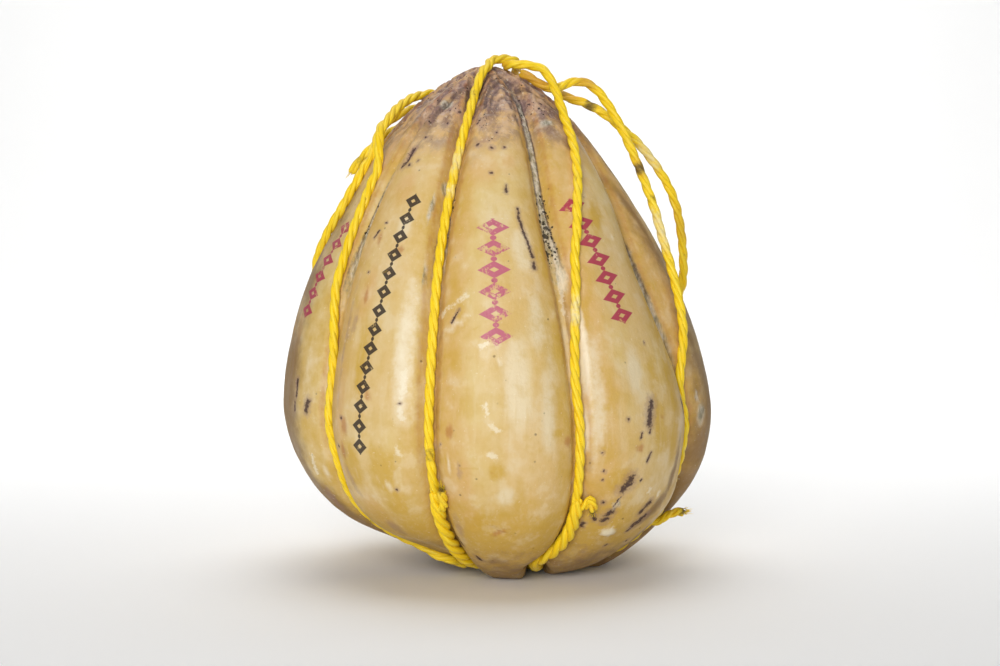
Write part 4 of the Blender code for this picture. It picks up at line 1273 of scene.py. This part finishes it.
random.seed(8)
twine = twine_material()
strand_ends = {}
for strand, groove_number in STRAND_GROOVES.items():
    lowest = LEAVES_GROOVE_AT.get(strand, RUNS_IN_AT)
    if strand in DOUBLED_FROM:
        lowest = DOUBLED_FROM[strand] - 6  # its end lies inside the doubled length
    stations = CROWN_STATIONS[strand] + in_groove(groove_number, SETTLES_AT[strand], lowest, STRAND_RADIUS)
    stations += BENEATH.get(strand, [])
    route = eased(smooth_route(stations), EASED_ROUNDS.get(strand, 0), EASED_BELOW)
    strand_ends[strand] = route
    cord = Cordage(f"twine_strand_{strand}")
    cord.lay(route, angle=1.3 * strand)
    made = cord.finish(STRAND_SOIL.get(strand, ()), STRAND_AGED.get(strand, ()), STRAND_CHALK.get(strand, ()), route)
    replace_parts(made, f"strand_{strand}")

spare_route = smooth_route(from_gather((-5, 2, -1), (-11, 6, -4)) + over_crests(
    (-158, 56), (-138, 56), (-120, 53), (-109, 48), (-102, 42)))
cord = Cordage("twine_spare_end")
cord.lay(spare_route)
cord.fray(spare_route[-1], spare_route[-1] - spare_route[-4], 6, 3 * MM, 0.2)
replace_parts(cord.finish(((0.9, 8, 0.5),), (), (), spare_route), "spare_end")


# ---- The doubled lengths ----------------------------------------------------------------------
# Four strands turn back on themselves under the base and are twisted together with their own
# ends, up to a cut end that sticks out on the lower flank.

ROPE_RADIUS = 3.5 * MM
ROPE_PLY_RADIUS = 1.8 * MM
ROPE_ORBIT = 1.75 * MM
ROPE_LAY = 27 * MM
ROPE_PLIES = 3
ROPE_GAP = 0.4 * MM
ROPE_SWELLS_OVER = 12 * MM  # from the strand's thickness to its own
TAIL_RADIUS = 2.3 * MM
TAILS = {  # of each cut end: aside, up and off the rind in mm, from where the strand is doubled
    1: ((1.5, -10, 1.5), (4.4, -6.5, 1), (5.6, -2.5, 0.8), (5.6, 1, 0.7), (5.2, 4.4, 0.4)),
    2: ((2, -5, 1.5), (4.2, -1.5, 1), (5.4, 2.4, 0.8), (6.8, 0.6, 1.6), (6.8, -3.6, 1.8)),
    5: ((1.5, -19, 1.5), (4.6, -15, 0.8), (6.4, -11, 0.4), (6.6, -7, 1.8), (6.8, -4, 3.9), (6.9, -1.6, 6.2)),
    7: ((-0.5, -9, 1.5), (-3.4, -5, 1.2), (-6.2, -1, 0.4), (-6, 3.5, 1.2), (-7, 7.5, 2.2)),
}

for strand, doubled_at in DOUBLED_FROM.items():
    groove_number = STRAND_GROOVES[strand]
    route = smooth_route(in_groove(groove_number, doubled_at + 1, RUNS_IN_AT, ROPE_RADIUS, ROPE_GAP))
    swell = smooth_between(-ROPE_SWELLS_OVER / 3, ROPE_SWELLS_OVER, distance_along(route))
    cord = Cordage(f"twine_rope_{strand}")
    for ply in range(ROPE_PLIES):
        thickness = ROPE_PLY_RADIUS * (0.62 + 0.38 * swell)
        path = coiled(route, ROPE_ORBIT * (0.5 + 0.5 * swell), ROPE_LAY, math.tau * ply / ROPE_PLIES + strand)
        cord.sweep(path, thickness, sides=11)
    rope = cord.finish(((1.0, 16, 0.7), (0.8, 8, 0.4)), (), ((0.72, 5, 0.6),), route)
    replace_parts(rope, f"rope_{strand}")

    stations = []
    for aside, up, off in TAILS[strand]:
        at = doubled_at + up / MM_PER_DEGREE
        turn = groove_turn(groove_number, at) + math.degrees(aside * MM / crest_outline(at)[0])
        stations.append(resting(turn, at, TAIL_RADIUS)[0]
                        + place(np.array([turn]), np.array([at]), off * MM)[0] - place(np.array([turn]), np.array([at]))[0])
    route = smooth_route(stations, 1 * MM)
    cord = Cordage(f"twine_tail_{strand}")
    loosened = 1 + 0.25 * smooth_between(0.6, 1, np.linspace(0, 1, len(route)))
    cord.lay(route, radius=1.15 * MM, orbit=1.15 * MM * loosened, lay_length=15 * MM)
    cord.fray(route[-1], route[-1] - route[-4], 26, 4.5 * MM, 0.55)
    tail = cord.finish(((0.97, 4, 0.75),), ((0.8, 6, 0.4),), (), route)
    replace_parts(tail, f"tail_{strand}")


# ---- The knots --------------------------------------------------------------------------------
# Behind the crown the strands are gathered and bound round with three turns of the same twine;
# under the base they are tied off flat, in the hollow that the cheese stands over.

def wound(centre, axis, radius, pitch, turns, tuck, squash=1.0):
    """A coil's path round an axis through a centre, with its two ends tucked inwards."""
    axis = Vector(axis).normalized()
    first = axis.orthogonal().normalized()
    second = axis.cross(first)
    points = []
    count = round(turns * 20)
    for n in range(-6, count + 7):
        angle = math.tau * n / 20
        inside = max(-n, n - count, 0) / 6
        reach = radius * (1 - tuck * inside)
        run = pitch * (min(max(n, 0), count) / 20 - turns / 2)
        points.append(Vector(centre) + (first * math.cos(angle) + second * math.sin(angle) * squash) * reach + axis * run)
    return smooth_route(points)


cord = Cordage("twine_crown_knot")
cord.lay(wound(gather, (1, 0.05, 0.1), 5.3 * MM, 5.1 * MM, 3.2, 0.6), angle=0.4)
for offset in ((0, 1.8), (1.7, -1.2), (-1.7, -1.2)):
    core = [gather + np.array((x, offset[0], offset[1] + 0.4 * math.sin(x))) * MM for x in (-12, -8, -4, 0, 4, 8, 12)]
    cord.lay(smooth_route(core), radius=1.1 * MM, orbit=1.1 * MM, angle=offset[0])
cord.fray(gather + np.array((12, 0, 0)) * MM, (1, 0.2, 0.2), 16, 6 * MM, 0.5)
crown_knot = cord.finish(((0.5, 9, 0.5),), ((0.2, 8, 0.4),), (), np.array([gather, gather]))
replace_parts(crown_knot, "crown_knot")

base_x = float(centre_line(np.array(0.0)))
cord = Cordage("twine_base_knot")
cord.lay(wound((base_x, CENTRE_Y, 4.9 * MM), (0, 0, 1), 6.2 * MM, 3.6 * MM, 1.6, 0.5), radius=1.15 * MM, orbit=1.15 * MM)
for side in (-1, 1):
    across = [np.array((base_x + x * MM, CENTRE_Y + side * 2.4 * MM, (3.0 + 0.06 * x * x) * MM)) for x in (-7, -4, 0, 4, 7)]
    cord.lay(smooth_route(across), radius=1.1 * MM, orbit=1.1 * MM, angle=side)
base_knot = cord.finish(((0.5, 12, 0.7),), (), (), np.array([(base_x, 0, 0.004), (base_x, 0, 0.004)]))
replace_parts(base_knot, "base_knot")
